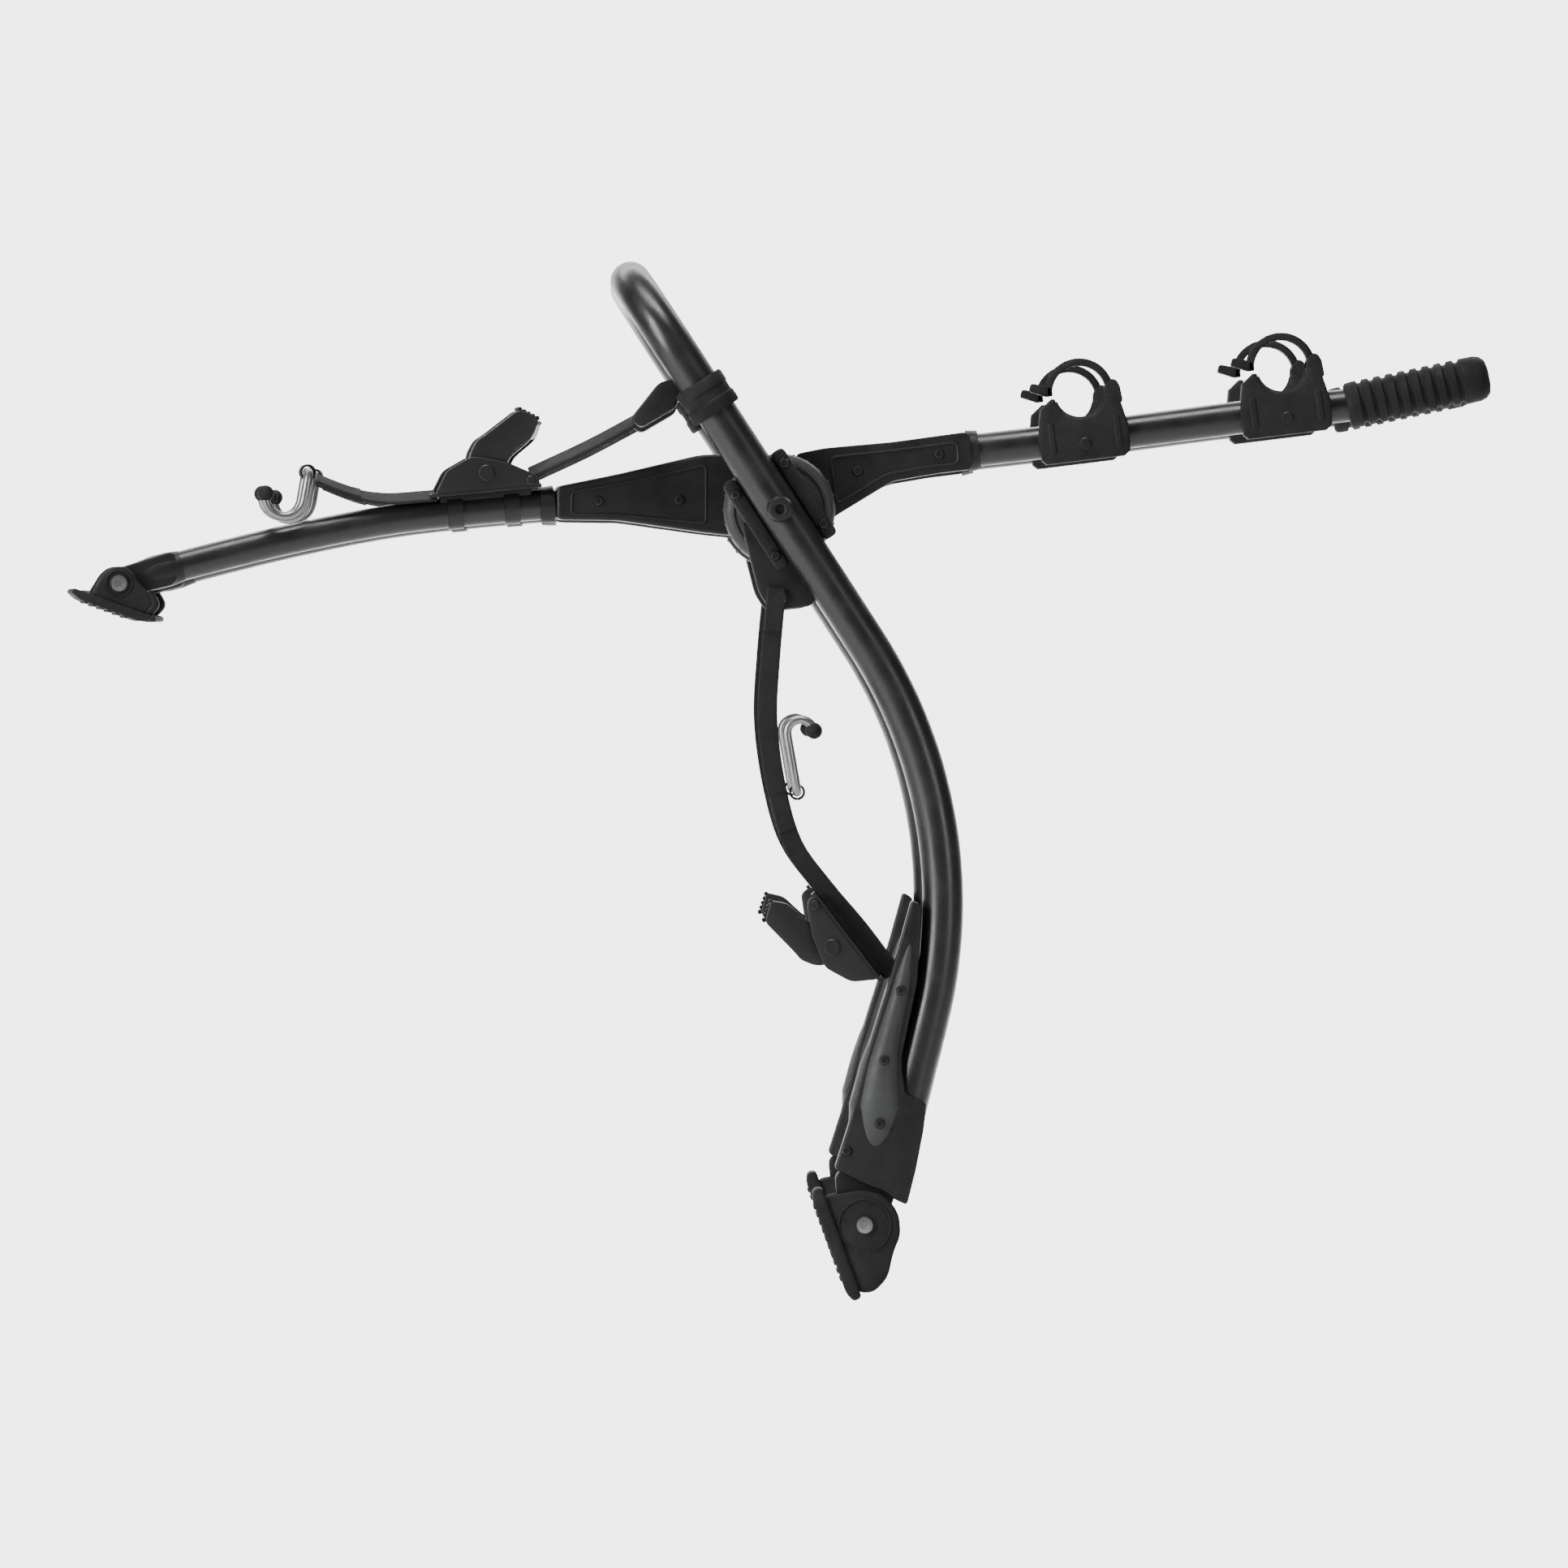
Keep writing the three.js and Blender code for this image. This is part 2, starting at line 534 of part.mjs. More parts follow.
// A saddle on the arm with a trough for the bicycle's top tube, and a strap that closes over it.
function cradle(x, z, s) {
  const rear = [[-30, -15], [28, -15], [30, 4], [26, 24], [15, 28], [TROUGH_R, 27]];
  const front = [[-TROUGH_R, 27], [-19, 28], [-27, 22], [-31, 2]];
  const body = outline([...rear, ...front], 4);
  const block = plate(body, s * ARM_Y - 17, s * ARM_Y + 17);
  const trough = plate(circle(TROUGH_R, 0, 30), s * ARM_Y - 30, s * ARM_Y + 30, 7);
  const placed = cut(block, trough).rotateY(CRADLE_TILT).translate(x, 0, z);
  return cut(placed, sweep(smooth(ARM_LINE, TUBE_STEPS, s * ARM_Y), ARM_R + GAP));
}

function cradleStrap(x, z, s) {
  const half = 12;
  const arch = new THREE.Shape();
  arch.absarc(0, 30, TROUGH_R + 5, -0.02, Math.PI + 0.02, false);
  arch.absarc(0, 30, TROUGH_R + 1, Math.PI + 0.02, -0.02, true);
  arch.closePath();
  const strap = plate(arch, -half, half, 7);
  const hinge = bar(4.5, -half, half, TROUGH_R + 5, 32, 8);
  const inside = -TROUGH_R - 1;
  const tabTip = [[inside - 13, 40], [inside - 15, 35], [inside - 4, 30]];
  const tab = plate(outline([[inside, 30], [inside, 36], ...tabTip], 1), -half, half);
  return joined(strap, hinge, tab).translate(0, s * ARM_Y, 0).rotateY(CRADLE_TILT).translate(x, 0, z);
}

const plungerX = PLUNGER_AT.r * Math.cos(PLUNGER_AT.angle);
const plungerZ = PLUNGER_AT.r * Math.sin(PLUNGER_AT.angle);

// The plunger has a knob on its inner end to pull it by.
function lockPlunger(s) {
  const shank = bar(PLUNGER_R, s * 104, s * (ARM_RING_Y[1] + 1), plungerX, plungerZ, 10);
  const knob = bar(PLUNGER_KNOB_R, s * 103, s * (ARM_RING_Y[0] - 5), plungerX, plungerZ, 8);
  return joined(shank, knob);
}

function armSocket(s) {
  const [y0, y1] = span(ARM_RING_Y, s);
  const ring = plate(circle(HUB_R), y0, y1, 10);
  const above = [[-4, 36], [30, 41], [75, 45], [126, 52]];
  const below = [[129, 27], [104, 24], [75, 19], [34, -6], [20, -30]];
  const wedge = plate(outline([...above, ...below], 5), y0, y1);
  const plungerHole = bar(PLUNGER_R + GAP, s * 100, s * 160, plungerX, plungerZ, 10);
  const tube = sweep(smooth(ARM_LINE, TUBE_STEPS, s * ARM_Y), ARM_R + GAP);
  return cut(joined(ring, wedge), tube, bar(AXLE_R + GAP, 0, s * 200), plungerHole);
}

for (const [name, s] of SIDES) {
  add(rack, "arm_socket_" + name, armSocket(s), blackPlastic());
  add(rack, "arm_tube_" + name, sweep(smooth(ARM_LINE, TUBE_STEPS, s * ARM_Y), ARM_R), powderCoat());
  add(rack, "arm_tip_" + name, armTip(s), rubber());
  add(rack, "arm_lock_plunger_" + name, lockPlunger(s), steel());
  CRADLES.forEach(({ x, z }, i) => {
    const place = ["inner", "outer"][i];
    add(rack, `cradle_${place}_${name}`, cradle(x, z, s), rubber());
    add(rack, `cradle_strap_${place}_${name}`, cradleStrap(x, z, s), rubber());
  });
}

export default rack;
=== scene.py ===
import math

import bmesh
import bpy
from mathutils import Matrix, Vector


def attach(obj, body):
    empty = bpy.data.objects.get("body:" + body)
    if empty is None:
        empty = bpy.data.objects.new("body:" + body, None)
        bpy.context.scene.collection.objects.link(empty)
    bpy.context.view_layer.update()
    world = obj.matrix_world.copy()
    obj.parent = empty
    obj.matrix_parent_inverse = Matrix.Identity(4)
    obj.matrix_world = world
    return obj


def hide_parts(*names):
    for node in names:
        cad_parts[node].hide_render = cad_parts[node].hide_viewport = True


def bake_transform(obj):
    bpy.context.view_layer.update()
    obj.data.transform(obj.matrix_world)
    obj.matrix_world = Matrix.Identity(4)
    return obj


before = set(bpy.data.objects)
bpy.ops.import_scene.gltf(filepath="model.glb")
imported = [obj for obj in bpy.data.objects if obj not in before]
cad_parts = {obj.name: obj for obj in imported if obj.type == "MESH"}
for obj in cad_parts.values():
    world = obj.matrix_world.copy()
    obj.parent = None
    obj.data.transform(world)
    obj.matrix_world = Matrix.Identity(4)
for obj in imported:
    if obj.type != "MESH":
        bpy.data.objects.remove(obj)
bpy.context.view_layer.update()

MM = 0.001

# ---------- driving dimensions, in millimetres and radians, the same as the frame's ----------
# The legs, arms and hubs are given for both sides at once: Y is the distance from the rack's middle plane.

HOOP_Y, HOOP_R, HOOP_TILT, HOOP_RISE, HOOP_DROP = 190, 13.5, math.radians(57), 181, 104
HOOP_BEND_R, HOOP_BEND, HOOP_TAIL, HOOP_CORNER_R = 318, math.radians(47), 88, 62
HUB_R, LEG_RING_R, AXLE_R = 37, 23, 11
CASING_Y, ARM_RING_Y, LEG_RING_Y, COLLAR_Y = (150, 174), (118, 148), (91, 116), (80, 89)
LEG_R, LEG_Y, LEG_SPLAY = 10, 103.5, math.radians(6)
LEG_LINE = [(-70, 6), (-140, 4.5), (-200, 0), (-265, -7.5), (-340, -22.5), (-425, -44)]
ARM_R, ARM_Y = 11, 133
ARM_LINE = [(70, 31), (112, 37.5), (160, 43), (218, 50), (307, 61.5), (385, 70.5)]
TIP_END = (468, 88)
CRADLES = [("inner", 203, 48), ("outer", 337, 65)]
CRADLE_TILT = math.radians(-7)
TROUGH_R, TROUGH_Z = 17, 30
BAND_R, HINGE_Z = TROUGH_R + 5, 32
UPPER_FOOT = dict(x=-442, z=-49, turn=20, reach=19, heel=27, toe=27, width=46, eye=10, ear=12)
LOWER_FOOT = dict(x=56, z=-473, turn=70, reach=27, heel=33, toe=44, width=48, eye=15, ear=24)
SHANK_INNER = [(87, -258), (72, -312), (57, -362), (45, -408), (36, -436)]
SHANK_OUTER = [(84, -460), (90, -436), (95, -410), (97, -392),
               (83, -386), (80, -364), (91, -312), (94, -262)]
SHANK_MIDDLE = [(90, -266), (81, -312), (69, -362), (65, -402), (60, -438)]
# Where a ratchet or a hook stands, as (x, z, turn in degrees), and a hook's (spread, shank, curl).
UPPER_BUCKLE = (-198, 11.5, -5.5)
LOWER_BUCKLE = (46, -283, -127.5)
LOWER_LEVER_CLOSED = math.radians(25)
UPPER_HOOK = (-315, 25, -80)
LOWER_HOOK = (11.5, -187, 80)
UPPER_HOOK_SHAPE, LOWER_HOOK_SHAPE = (26, 19, -13), (22, 38, -9)
UPPER_STRAP_LINE = [(-237, 9), (-262, 7.5), (-285, 11), (-309, 20)]
LOWER_STRAP_LINE = [(-2, -52), (-6, -96), (-8, -140), (-2, -185),
                    (9, -222), (29, -250), (51, -276), (67, -297)]
TAIL_LINE = [(-158, 28), (-127, 42.5), (-98.6, 57.6)]
TAIL_Y, TAIL_TWIST, TAIL_SLANT, STRAP_TWIST = 130.5, 0.36, 12, 0.28
ANCHOR = (-72, 70)
LOWER_STRAP_W = 13
BUCKLE_W, WEB_W, WEB_T, WIRE_R, BALL_R = 36, 25, 2.4, 3, 5.5
SIDES = [("left", -1), ("right", 1)]

# ---------- materials ----------


def material(name, base, roughness, metallic, detail):
    mat = bpy.data.materials.new(name)
    mat.use_nodes = True
    tree = mat.node_tree
    shader = tree.nodes["Principled BSDF"]
    shader.inputs["Base Color"].default_value = (*base, 1)
    shader.inputs["Roughness"].default_value = roughness
    shader.inputs["Metallic"].default_value = metallic
    detail(tree, shader, base, roughness)
    return mat


def coords(tree, scale, stretch):
    where = tree.nodes.new("ShaderNodeTexCoord")
    mapping = tree.nodes.new("ShaderNodeMapping")
    mapping.inputs["Scale"].default_value = [scale * k for k in stretch]
    tree.links.new(where.outputs["Object"], mapping.inputs["Vector"])
    return mapping.outputs["Vector"]


def noise(tree, scale, detail, stretch=(1, 1, 1)):
    """A noise fixed to the object, with its scale in cells for each metre."""
    node = tree.nodes.new("ShaderNodeTexNoise")
    node.inputs["Scale"].default_value = 1.0
    node.inputs["Detail"].default_value = detail
    tree.links.new(coords(tree, scale, stretch), node.inputs["Vector"])
    return node.outputs["Fac"]


def ramp(tree, source, stops):
    node = tree.nodes.new("ShaderNodeValToRGB")
    elements = node.color_ramp.elements
    while len(elements) < len(stops):
        elements.new(0.5)
    for element, (place, colour) in zip(elements, stops):
        element.position = place
        element.color = (*colour, 1) if isinstance(colour, tuple) else (colour, colour, colour, 1)
    tree.links.new(source, node.inputs["Fac"])
    return node.outputs["Color"]


def bump(tree, shader, height, distance, strength, after=None):
    """A relief on the shader's surface, laid over an earlier one."""
    node = tree.nodes.new("ShaderNodeBump")
    node.inputs["Distance"].default_value = distance
    node.inputs["Strength"].default_value = strength
    tree.links.new(height, node.inputs["Height"])
    if after:
        tree.links.new(after, node.inputs["Normal"])
    tree.links.new(node.outputs["Normal"], shader.inputs["Normal"])
    return node.outputs["Normal"]


def vary(tree, shader, socket, source, stops):
    """Lets a pattern drive one of the shader's sockets."""
    tree.links.new(ramp(tree, source, stops), shader.inputs[socket])


def shade(base, factor):
    return tuple(channel * factor for channel in base)


def powder_detail(tree, shader, base, roughness):
    cloud, dust = noise(tree, 14, 3), noise(tree, 60, 6)
    vary(tree, shader, "Base Color", cloud, [(0.3, shade(base, 0.8)), (0.7, shade(base, 1.3))])
    vary(tree, shader, "Roughness", dust, [(0.35, roughness - 0.05), (0.75, roughness + 0.12)])
    peel = bump(tree, shader, noise(tree, 900, 2), 0.00012, 0.55)
    bump(tree, shader, noise(tree, 3600, 1), 0.00004, 0.5, peel)
    shader.inputs["Specular IOR Level"].default_value = 0.4
    shader.inputs["Coat Weight"].default_value = 0.1
    shader.inputs["Coat Roughness"].default_value = 0.3


def moulded_detail(tree, shader, base, roughness):
    cloud, wear = noise(tree, 30, 5), noise(tree, 80, 5)
    vary(tree, shader, "Base Color", cloud, [(0.3, shade(base, 0.85)), (0.72, shade(base, 1.25))])
    vary(tree, shader, "Roughness", wear, [(0.3, roughness - 0.08), (0.7, roughness + 0.1)])
    grain = bump(tree, shader, noise(tree, 1500, 3), 0.0002, 0.7)
    bump(tree, shader, noise(tree, 45, 2), 0.0004, 0.25, grain)
    shader.inputs["Specular IOR Level"].default_value = 0.25


def rubber_detail(tree, shader, base, roughness):
    dust, wear = noise(tree, 40, 7), noise(tree, 120, 4)
    vary(tree, shader, "Base Color", dust, [(0.35, base), (0.62, shade(base, 1.5)), (0.85, shade(base, 3.0))])
    vary(tree, shader, "Roughness", wear, [(0.3, roughness - 0.1), (0.7, min(roughness + 0.1, 1))])
    bump(tree, shader, noise(tree, 1100, 4), 0.0003, 0.6)
    shader.inputs["Specular IOR Level"].default_value = 0.22


def webbing_detail(tree, shader, base, roughness):
    def ribs(stretch, rotation):
        wave = tree.nodes.new("ShaderNodeTexWave")
        wave.inputs["Scale"].default_value = 1.0
        wave.inputs["Distortion"].default_value = 0.4
        mapping = tree.nodes.new("ShaderNodeMapping")
        mapping.inputs["Scale"].default_value = stretch
        mapping.inputs["Rotation"].default_value = (0, 0, rotation)
        where = tree.nodes.new("ShaderNodeTexCoord")
        tree.links.new(where.outputs["UV"], mapping.inputs["Vector"])
        tree.links.new(mapping.outputs["Vector"], wave.inputs["Vector"])
        return wave.outputs["Fac"]

    mix = tree.nodes.new("ShaderNodeMath")
    mix.operation = "MULTIPLY"
    tree.links.new(ribs((180, 180, 1), math.radians(38)), mix.inputs[0])
    tree.links.new(ribs((240, 240, 1), math.radians(-38)), mix.inputs[1])
    weave, wear = mix.outputs[0], noise(tree, 50, 5)
    vary(tree, shader, "Base Color", weave, [(0.0, shade(base, 0.5)), (0.5, base), (1.0, shade(base, 2.2))])
    vary(tree, shader, "Roughness", wear, [(0.3, roughness - 0.12), (0.7, min(roughness + 0.06, 1))])
    woven = bump(tree, shader, weave, 0.0006, 0.9)
    bump(tree, shader, noise(tree, 2500, 3), 0.0002, 0.5, woven)
    shader.inputs["Specular IOR Level"].default_value = 0.25
    shader.inputs["Sheen Weight"].default_value = 0.06
    shader.inputs["Sheen Roughness"].default_value = 0.5


def steel_detail(tree, shader, base, roughness):
    cloud, brushed = noise(tree, 35, 6), noise(tree, 1, 3, (2600, 140, 2600))
    vary(tree, shader, "Base Color", cloud, [(0.3, shade(base, 0.78)), (0.7, shade(base, 1.1))])
    vary(tree, shader, "Roughness", brushed, [(0.3, roughness - 0.06), (0.7, roughness + 0.14)])
    bump(tree, shader, brushed, 0.0001, 0.35)


POWDER = material("powder_coat", (0.007, 0.0071, 0.0075), 0.34, 0.0, powder_detail)
HUB = material("hub_plastic", (0.03, 0.031, 0.032), 0.5, 0.0, moulded_detail)
PLASTIC = material("black_plastic", (0.0065, 0.0065, 0.0068), 0.46, 0.0, moulded_detail)
RUBBER = material("rubber", (0.0055, 0.0055, 0.0058), 0.76, 0.0, rubber_detail)
WEBBING = material("webbing", (0.005, 0.005, 0.0053), 0.85, 0.0, webbing_detail)
STEEL = material("steel", (0.27, 0.27, 0.275), 0.3, 0.95, steel_detail)
DARK_STEEL = material("dark_steel", (0.011, 0.0112, 0.012), 0.4, 0.35, steel_detail)

# ---------- geometry: outlines, centrelines and bmeshes, all in millimetres ----------

TINY = 1e-6
SHARP_RIM = 1.2  # radians between a plate's face and its side
SMOOTH_BELOW = math.radians(38)
UV_SCALE = 8 * MM  # the weave's pattern repeats 8 times for each metre
SPLINE_STEPS = 24


def rounded(points, radius, steps=6):
    """The outline of a polygon with its corners rounded."""
    result = []
    count = len(points)
    for i, corner in enumerate(points):
        here, before, after = Vector(corner), Vector(points[i - 1]), Vector(points[(i + 1) % count])
        reach = min(radius, (before - here).length / 2.1, (after - here).length / 2.1)
        if reach <= 0:
            result.append(here)
            continue
        enter = here + (before - here).normalized() * reach
        leave = here + (after - here).normalized() * reach
        for k in range(steps + 1):
            t = k / steps
            result.append(enter * (1 - t) ** 2 + here * 2 * t * (1 - t) + leave * t * t)
    return result


def turns(count):
    """Angles spread evenly over a full turn."""
    return [2 * math.pi * k / count for k in range(count)]


def arc(radius, first, last, steps, x=0.0, z=0.0):
    """Points of a circle's arc in the X-Z plane. Its angles are in degrees."""
    angles = [math.radians(first + (last - first) * k / steps) for k in range(steps + 1)]
    return [Vector((x + radius * math.cos(a), z + radius * math.sin(a))) for a in angles]


def at(points, y):
    """Points of the X-Z plane put at one station on Y."""
    return [Vector((p[0], y, p[1])) for p in points]


def plate(points, y0, y1, bevel=0.0, holes=()):
    """An outline in the X-Z plane made solid between two stations on Y, with rounded rims."""
    bm = bmesh.new()
    loops = [points, *holes]
    rims = {y0: [], y1: []}
    for y in rims:
        edges = []
        for loop in loops:
            verts = [bm.verts.new((p[0], y, p[1])) for p in loop]
            rims[y].append(verts)
            edges += [bm.edges.new((verts[i - 1], verts[i])) for i in range(len(verts))]
        bmesh.ops.triangle_fill(bm, use_beauty=True, edges=edges)
    for low, high in zip(rims[y0], rims[y1]):
        for i in range(len(low)):
            bm.faces.new((low[i - 1], low[i], high[i], high[i - 1]))
    bmesh.ops.recalc_face_normals(bm, faces=bm.faces)
    bmesh.ops.dissolve_limit(bm, angle_limit=0.001, verts=bm.verts, edges=bm.edges)
    if bevel > 0:
        rim = [e for e in bm.edges if len(e.link_faces) == 2 and e.calc_face_angle(0) > SHARP_RIM
               and abs(e.verts[0].co.y - e.verts[1].co.y) < TINY]
        bmesh.ops.bevel(bm, geom=rim, offset=bevel, segments=3, profile=0.5, affect="EDGES",
                        clamp_overlap=True)
    return bm


def lathe(profile, sides=40):
    """A profile of (radius, y) pairs turned about Y. It starts and ends on the axis or closes on itself."""
    bm = bmesh.new()
    rows = []
    for r, y in profile:
        if r < TINY:
            rows.append([bm.verts.new((0, y, 0))])
            continue
        rows.append([bm.verts.new((r * math.cos(a), y, r * math.sin(a))) for a in turns(sides)])
    closed = profile[0][0] > TINY
    pairs = list(zip(rows, rows[1:])) + ([(rows[-1], rows[0])] if closed else [])
    for a, b in pairs:
        for k in range(sides):
            quad = [a[k % len(a)], a[(k + 1) % len(a)], b[(k + 1) % len(b)], b[k % len(b)]]
            unique = list(dict.fromkeys(quad))
            if len(unique) > 2:
                bm.faces.new(unique)
    bmesh.ops.recalc_face_normals(bm, faces=bm.faces)
    return bm


def rod(radius, y0, y1, x=0.0, z=0.0, chamfer=0.5, sides=32):
    low, high = sorted((y0, y1))
    c = min(chamfer, radius * 0.4, (high - low) * 0.4)
    bm = lathe([(0, low), (radius - c, low), (radius, low + c),
                (radius, high - c), (radius - c, high), (0, high)], sides)
    return moved(bm, (x, 0, z))


def tangents_of(stations):
    ahead = [*stations[1:], stations[-1]]
    behind = [stations[0], *stations[:-1]]
    return [(a - b).normalized() for a, b in zip(ahead, behind)]


def sweep(stations, radii, sides, depths=None):
    """A round section carried along stations, with one radius or one for each, or an oval one with depths
    along Y of its own."""
    bm = bmesh.new()
    if not isinstance(radii, (list, tuple)):
        radii = [radii] * len(stations)
    depths = depths or radii
    rows = []
    tangents = tangents_of(stations)
    normal = tangents[0].orthogonal().normalized()
    for i, centre in enumerate(stations):
        if i:
            normal = tangents[i - 1].rotation_difference(tangents[i]) @ normal
        side = tangents[i].cross(normal)
        oval = Vector((radii[i], depths[i], radii[i]))
        rows.append([bm.verts.new(centre + (normal * math.cos(a) + side * math.sin(a)) * oval)
                     for a in turns(sides)])
    for a, b in zip(rows, rows[1:]):
        for k in range(sides):
            bm.faces.new((a[k], a[(k + 1) % sides], b[(k + 1) % sides], b[k]))
    bm.faces.new(rows[0])
    bm.faces.new(rows[-1])
    bmesh.ops.recalc_face_normals(bm, faces=bm.faces)
    return bm


def graded(values, count):
    """Values spread evenly over count stations, in straight steps."""
    result = []
    for i in range(count):
        t = i / (count - 1) * (len(values) - 1)
        k = min(int(t), len(values) - 2)
        result.append(values[k] + (values[k + 1] - values[k]) * (t - k))
    return result


def spline(line, steps, y=0.0):
    """A smooth centreline through a line's points: the same Catmull-Rom curve as the frame's."""
    points = [Vector((x, y, z)) for x, z in line]
    dense = []
    for i in range(len(points) - 1):
        p0, p1 = points[max(i - 1, 0)], points[i]
        p2, p3 = points[i + 1], points[min(i + 2, len(points) - 1)]
        for k in range(SPLINE_STEPS):
            t = k / SPLINE_STEPS
            v0, v1 = (p2 - p0) * 0.5, (p3 - p1) * 0.5
            dense.append((2 * p1 - 2 * p2 + v0 + v1) * t ** 3 + (-3 * p1 + 3 * p2 - 2 * v0 - v1) * t * t
                         + v0 * t + p1)
    dense.append(points[-1])
    return resampled(dense, steps)


def resampled(points, steps):
    """The same line with its stations evenly spaced."""
    lengths = [0.0]
    for a, b in zip(points, points[1:]):
        lengths.append(lengths[-1] + (b - a).length)
    result = []
    j = 0
    for i in range(steps + 1):
        target = lengths[-1] * i / steps
        while j < len(points) - 2 and lengths[j + 1] < target:
            j += 1
        share = (target - lengths[j]) / max(lengths[j + 1] - lengths[j], 1e-9)
        result.append(points[j].lerp(points[j + 1], min(max(share, 0), 1)))
    return result


def webbing_strip(stations, width, thickness, across=Vector((0, 1, 0))):
    """A flat strap along stations, its width along `across`, with a rounded selvedge and a UV along it."""
    bm = bmesh.new()
    uv = bm.loops.layers.uv.new("UVMap")
    upper = [(-0.47, 0.36), (-0.4, 0.5), (-0.2, 0.46), (0.2, 0.46), (0.4, 0.5), (0.47, 0.36)]
    section = [(-0.5, 0.0), *upper, (0.5, 0.0), *((-a, -b) for a, b in upper)]
    rows = []
    run = [0.0]
    for i, (centre, tangent) in enumerate(zip(stations, tangents_of(stations))):
        side = (across - tangent * across.dot(tangent)).normalized()
        up = side.cross(tangent)
        rows.append([bm.verts.new(centre + side * (a * width) + up * (b * thickness)) for a, b in section])
        if i:
            run.append(run[-1] + (centre - stations[i - 1]).length)
    count = len(section)
    for i in range(len(rows) - 1):
        for k in range(count):
            following = (k + 1) % count
            ends = [(i, k), (i, following), (i + 1, following), (i + 1, k)]
            face = bm.faces.new([rows[row][column] for row, column in ends])
            for loop, (row, column) in zip(face.loops, ends):
                loop[uv].uv = (run[row] * UV_SCALE, section[column][0] * width * UV_SCALE)
    bm.faces.new(rows[0])
    bm.faces.new(list(reversed(rows[-1])))
    bmesh.ops.recalc_face_normals(bm, faces=bm.faces)
    return bm


def moved(bm, place=(0, 0, 0), turn=0.0, splay=0.0):
    """Turned about Y, then about Z, then moved, as the frame's groups are."""
    matrix = Matrix.Translation(place) @ Matrix.Rotation(splay, 4, "Z") @ Matrix.Rotation(turn, 4, "Y")
    bmesh.ops.transform(bm, matrix=matrix, verts=bm.verts)
    return bm


def laid(bm, place, turn):
    """A lathed shape laid along X, then turned about Y and moved."""
    lying = Matrix.Rotation(turn, 4, "Y") @ Matrix.Rotation(-math.pi / 2, 4, "Z")
    bmesh.ops.transform(bm, matrix=Matrix.Translation(place) @ lying, verts=bm.verts)
    return bm


def placed(parts, **how):
    """Parts moved together. A part is a (bmesh, material) pair."""
    return [(moved(bm, **how), mat) for bm, mat in parts]


def outlined(points, y, radius):
    """A part: a thin moulded line that runs round an outline on a face at y."""
    route = at(points, y)
    return sweep([*route, route[0]], radius, 8), PLASTIC


def piece(name, body, parts, node):
    """One object from several parts. It stands for a CAD node, which it hides, and rides on a body if one is
    given.
    """
    used = list(dict.fromkeys(mat for _, mat in parts))
    whole = bmesh.new()
    whole.loops.layers.uv.new("UVMap")
    for bm, mat in parts:
        for face in bm.faces:
            face.material_index = used.index(mat)
            face.smooth = True
        if not bm.loops.layers.uv:
            bm.loops.layers.uv.new("UVMap")
        part = bpy.data.meshes.new("part")
        bm.to_mesh(part)
        bm.free()
        whole.from_mesh(part)
        bpy.data.meshes.remove(part)
    bmesh.ops.scale(whole, vec=(MM, MM, MM), verts=whole.verts)
    mesh = bpy.data.meshes.new(name)
    whole.to_mesh(mesh)
    whole.free()
    for mat in used:
        mesh.materials.append(mat)
    mesh.set_sharp_from_angle(angle=SMOOTH_BELOW)
    obj = bpy.data.objects.new(name, mesh)
    bpy.context.scene.collection.objects.link(obj)
    if body:
        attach(obj, body)
    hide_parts(node)
    return obj


# ---------- main hoop ----------

ALONG = Vector((math.cos(HOOP_TILT), 0, -math.sin(HOOP_TILT)))
INWARD = Vector((-math.sin(HOOP_TILT), 0, -math.cos(HOOP_TILT)))


def hoop_leg(y):
    """The hoop's centreline from its top corner down to its end in the shank."""
    points = []
    corner_steps, bend_steps = 16, 28
    for i in range(corner_steps + 1):
        a = i / corner_steps * math.pi / 2
        down = -HOOP_RISE + HOOP_CORNER_R * (1 - math.cos(a))
        across = abs(y) - HOOP_CORNER_R * (1 - math.sin(a))
        p = ALONG * down
        points.append(Vector((p.x, math.copysign(across, y), p.z)))
    start = ALONG * HOOP_DROP
    centre = start + INWARD * HOOP_BEND_R
    points += [ALONG * d + Vector((0, y, 0)) for d in (-80, -20, 40)]
    for i in range(bend_steps + 1):
        a = i / bend_steps * HOOP_BEND
        p = centre - INWARD * HOOP_BEND_R * math.cos(a) + ALONG * HOOP_BEND_R * math.sin(a)
        points.append(Vector((p.x, y, p.z)))
    tail = ALONG * math.cos(HOOP_BEND) + INWARD * math.sin(HOOP_BEND)
    last = points[-1]
    points += [last + tail * (HOOP_TAIL * k / 3) for k in (1, 2, 3)]
    return points


def build_hoop():
    route = list(reversed(hoop_leg(-HOOP_Y))) + hoop_leg(HOOP_Y)
    piece("hoop_tube", "frame", [(sweep(route, HOOP_R, 40), POWDER)], "main_hoop")


# ---------- hubs ----------


def on_hoop(along, across):
    """The (x, z) of a point given along the hoop's straight part and square to it."""
    p = ALONG * along - INWARD * across
    return p.x, p.z


def hoop_block(half_length, low, high):
    """The outline of a block that is laid along the hoop."""
    corners = ((-half_length, low), (-half_length, high), (half_length, high), (half_length, low))
    return [on_hoop(*corner) for corner in corners]


def screw_head(radius, s, y, x, z):
    """A domed screw head with a socket, standing about 2 mm proud of the face at y."""
    profile = [(0, 0.7), (radius * 0.45, 0.7), (radius * 0.5, 1.7), (radius * 0.8, 1.5), (radius, 0.5),
               (radius, -1), (0, -1)]
    dome = lathe([(r, s * (y + rise)) for r, rise in profile], 24)
    return moved(dome, (x, 0, z))


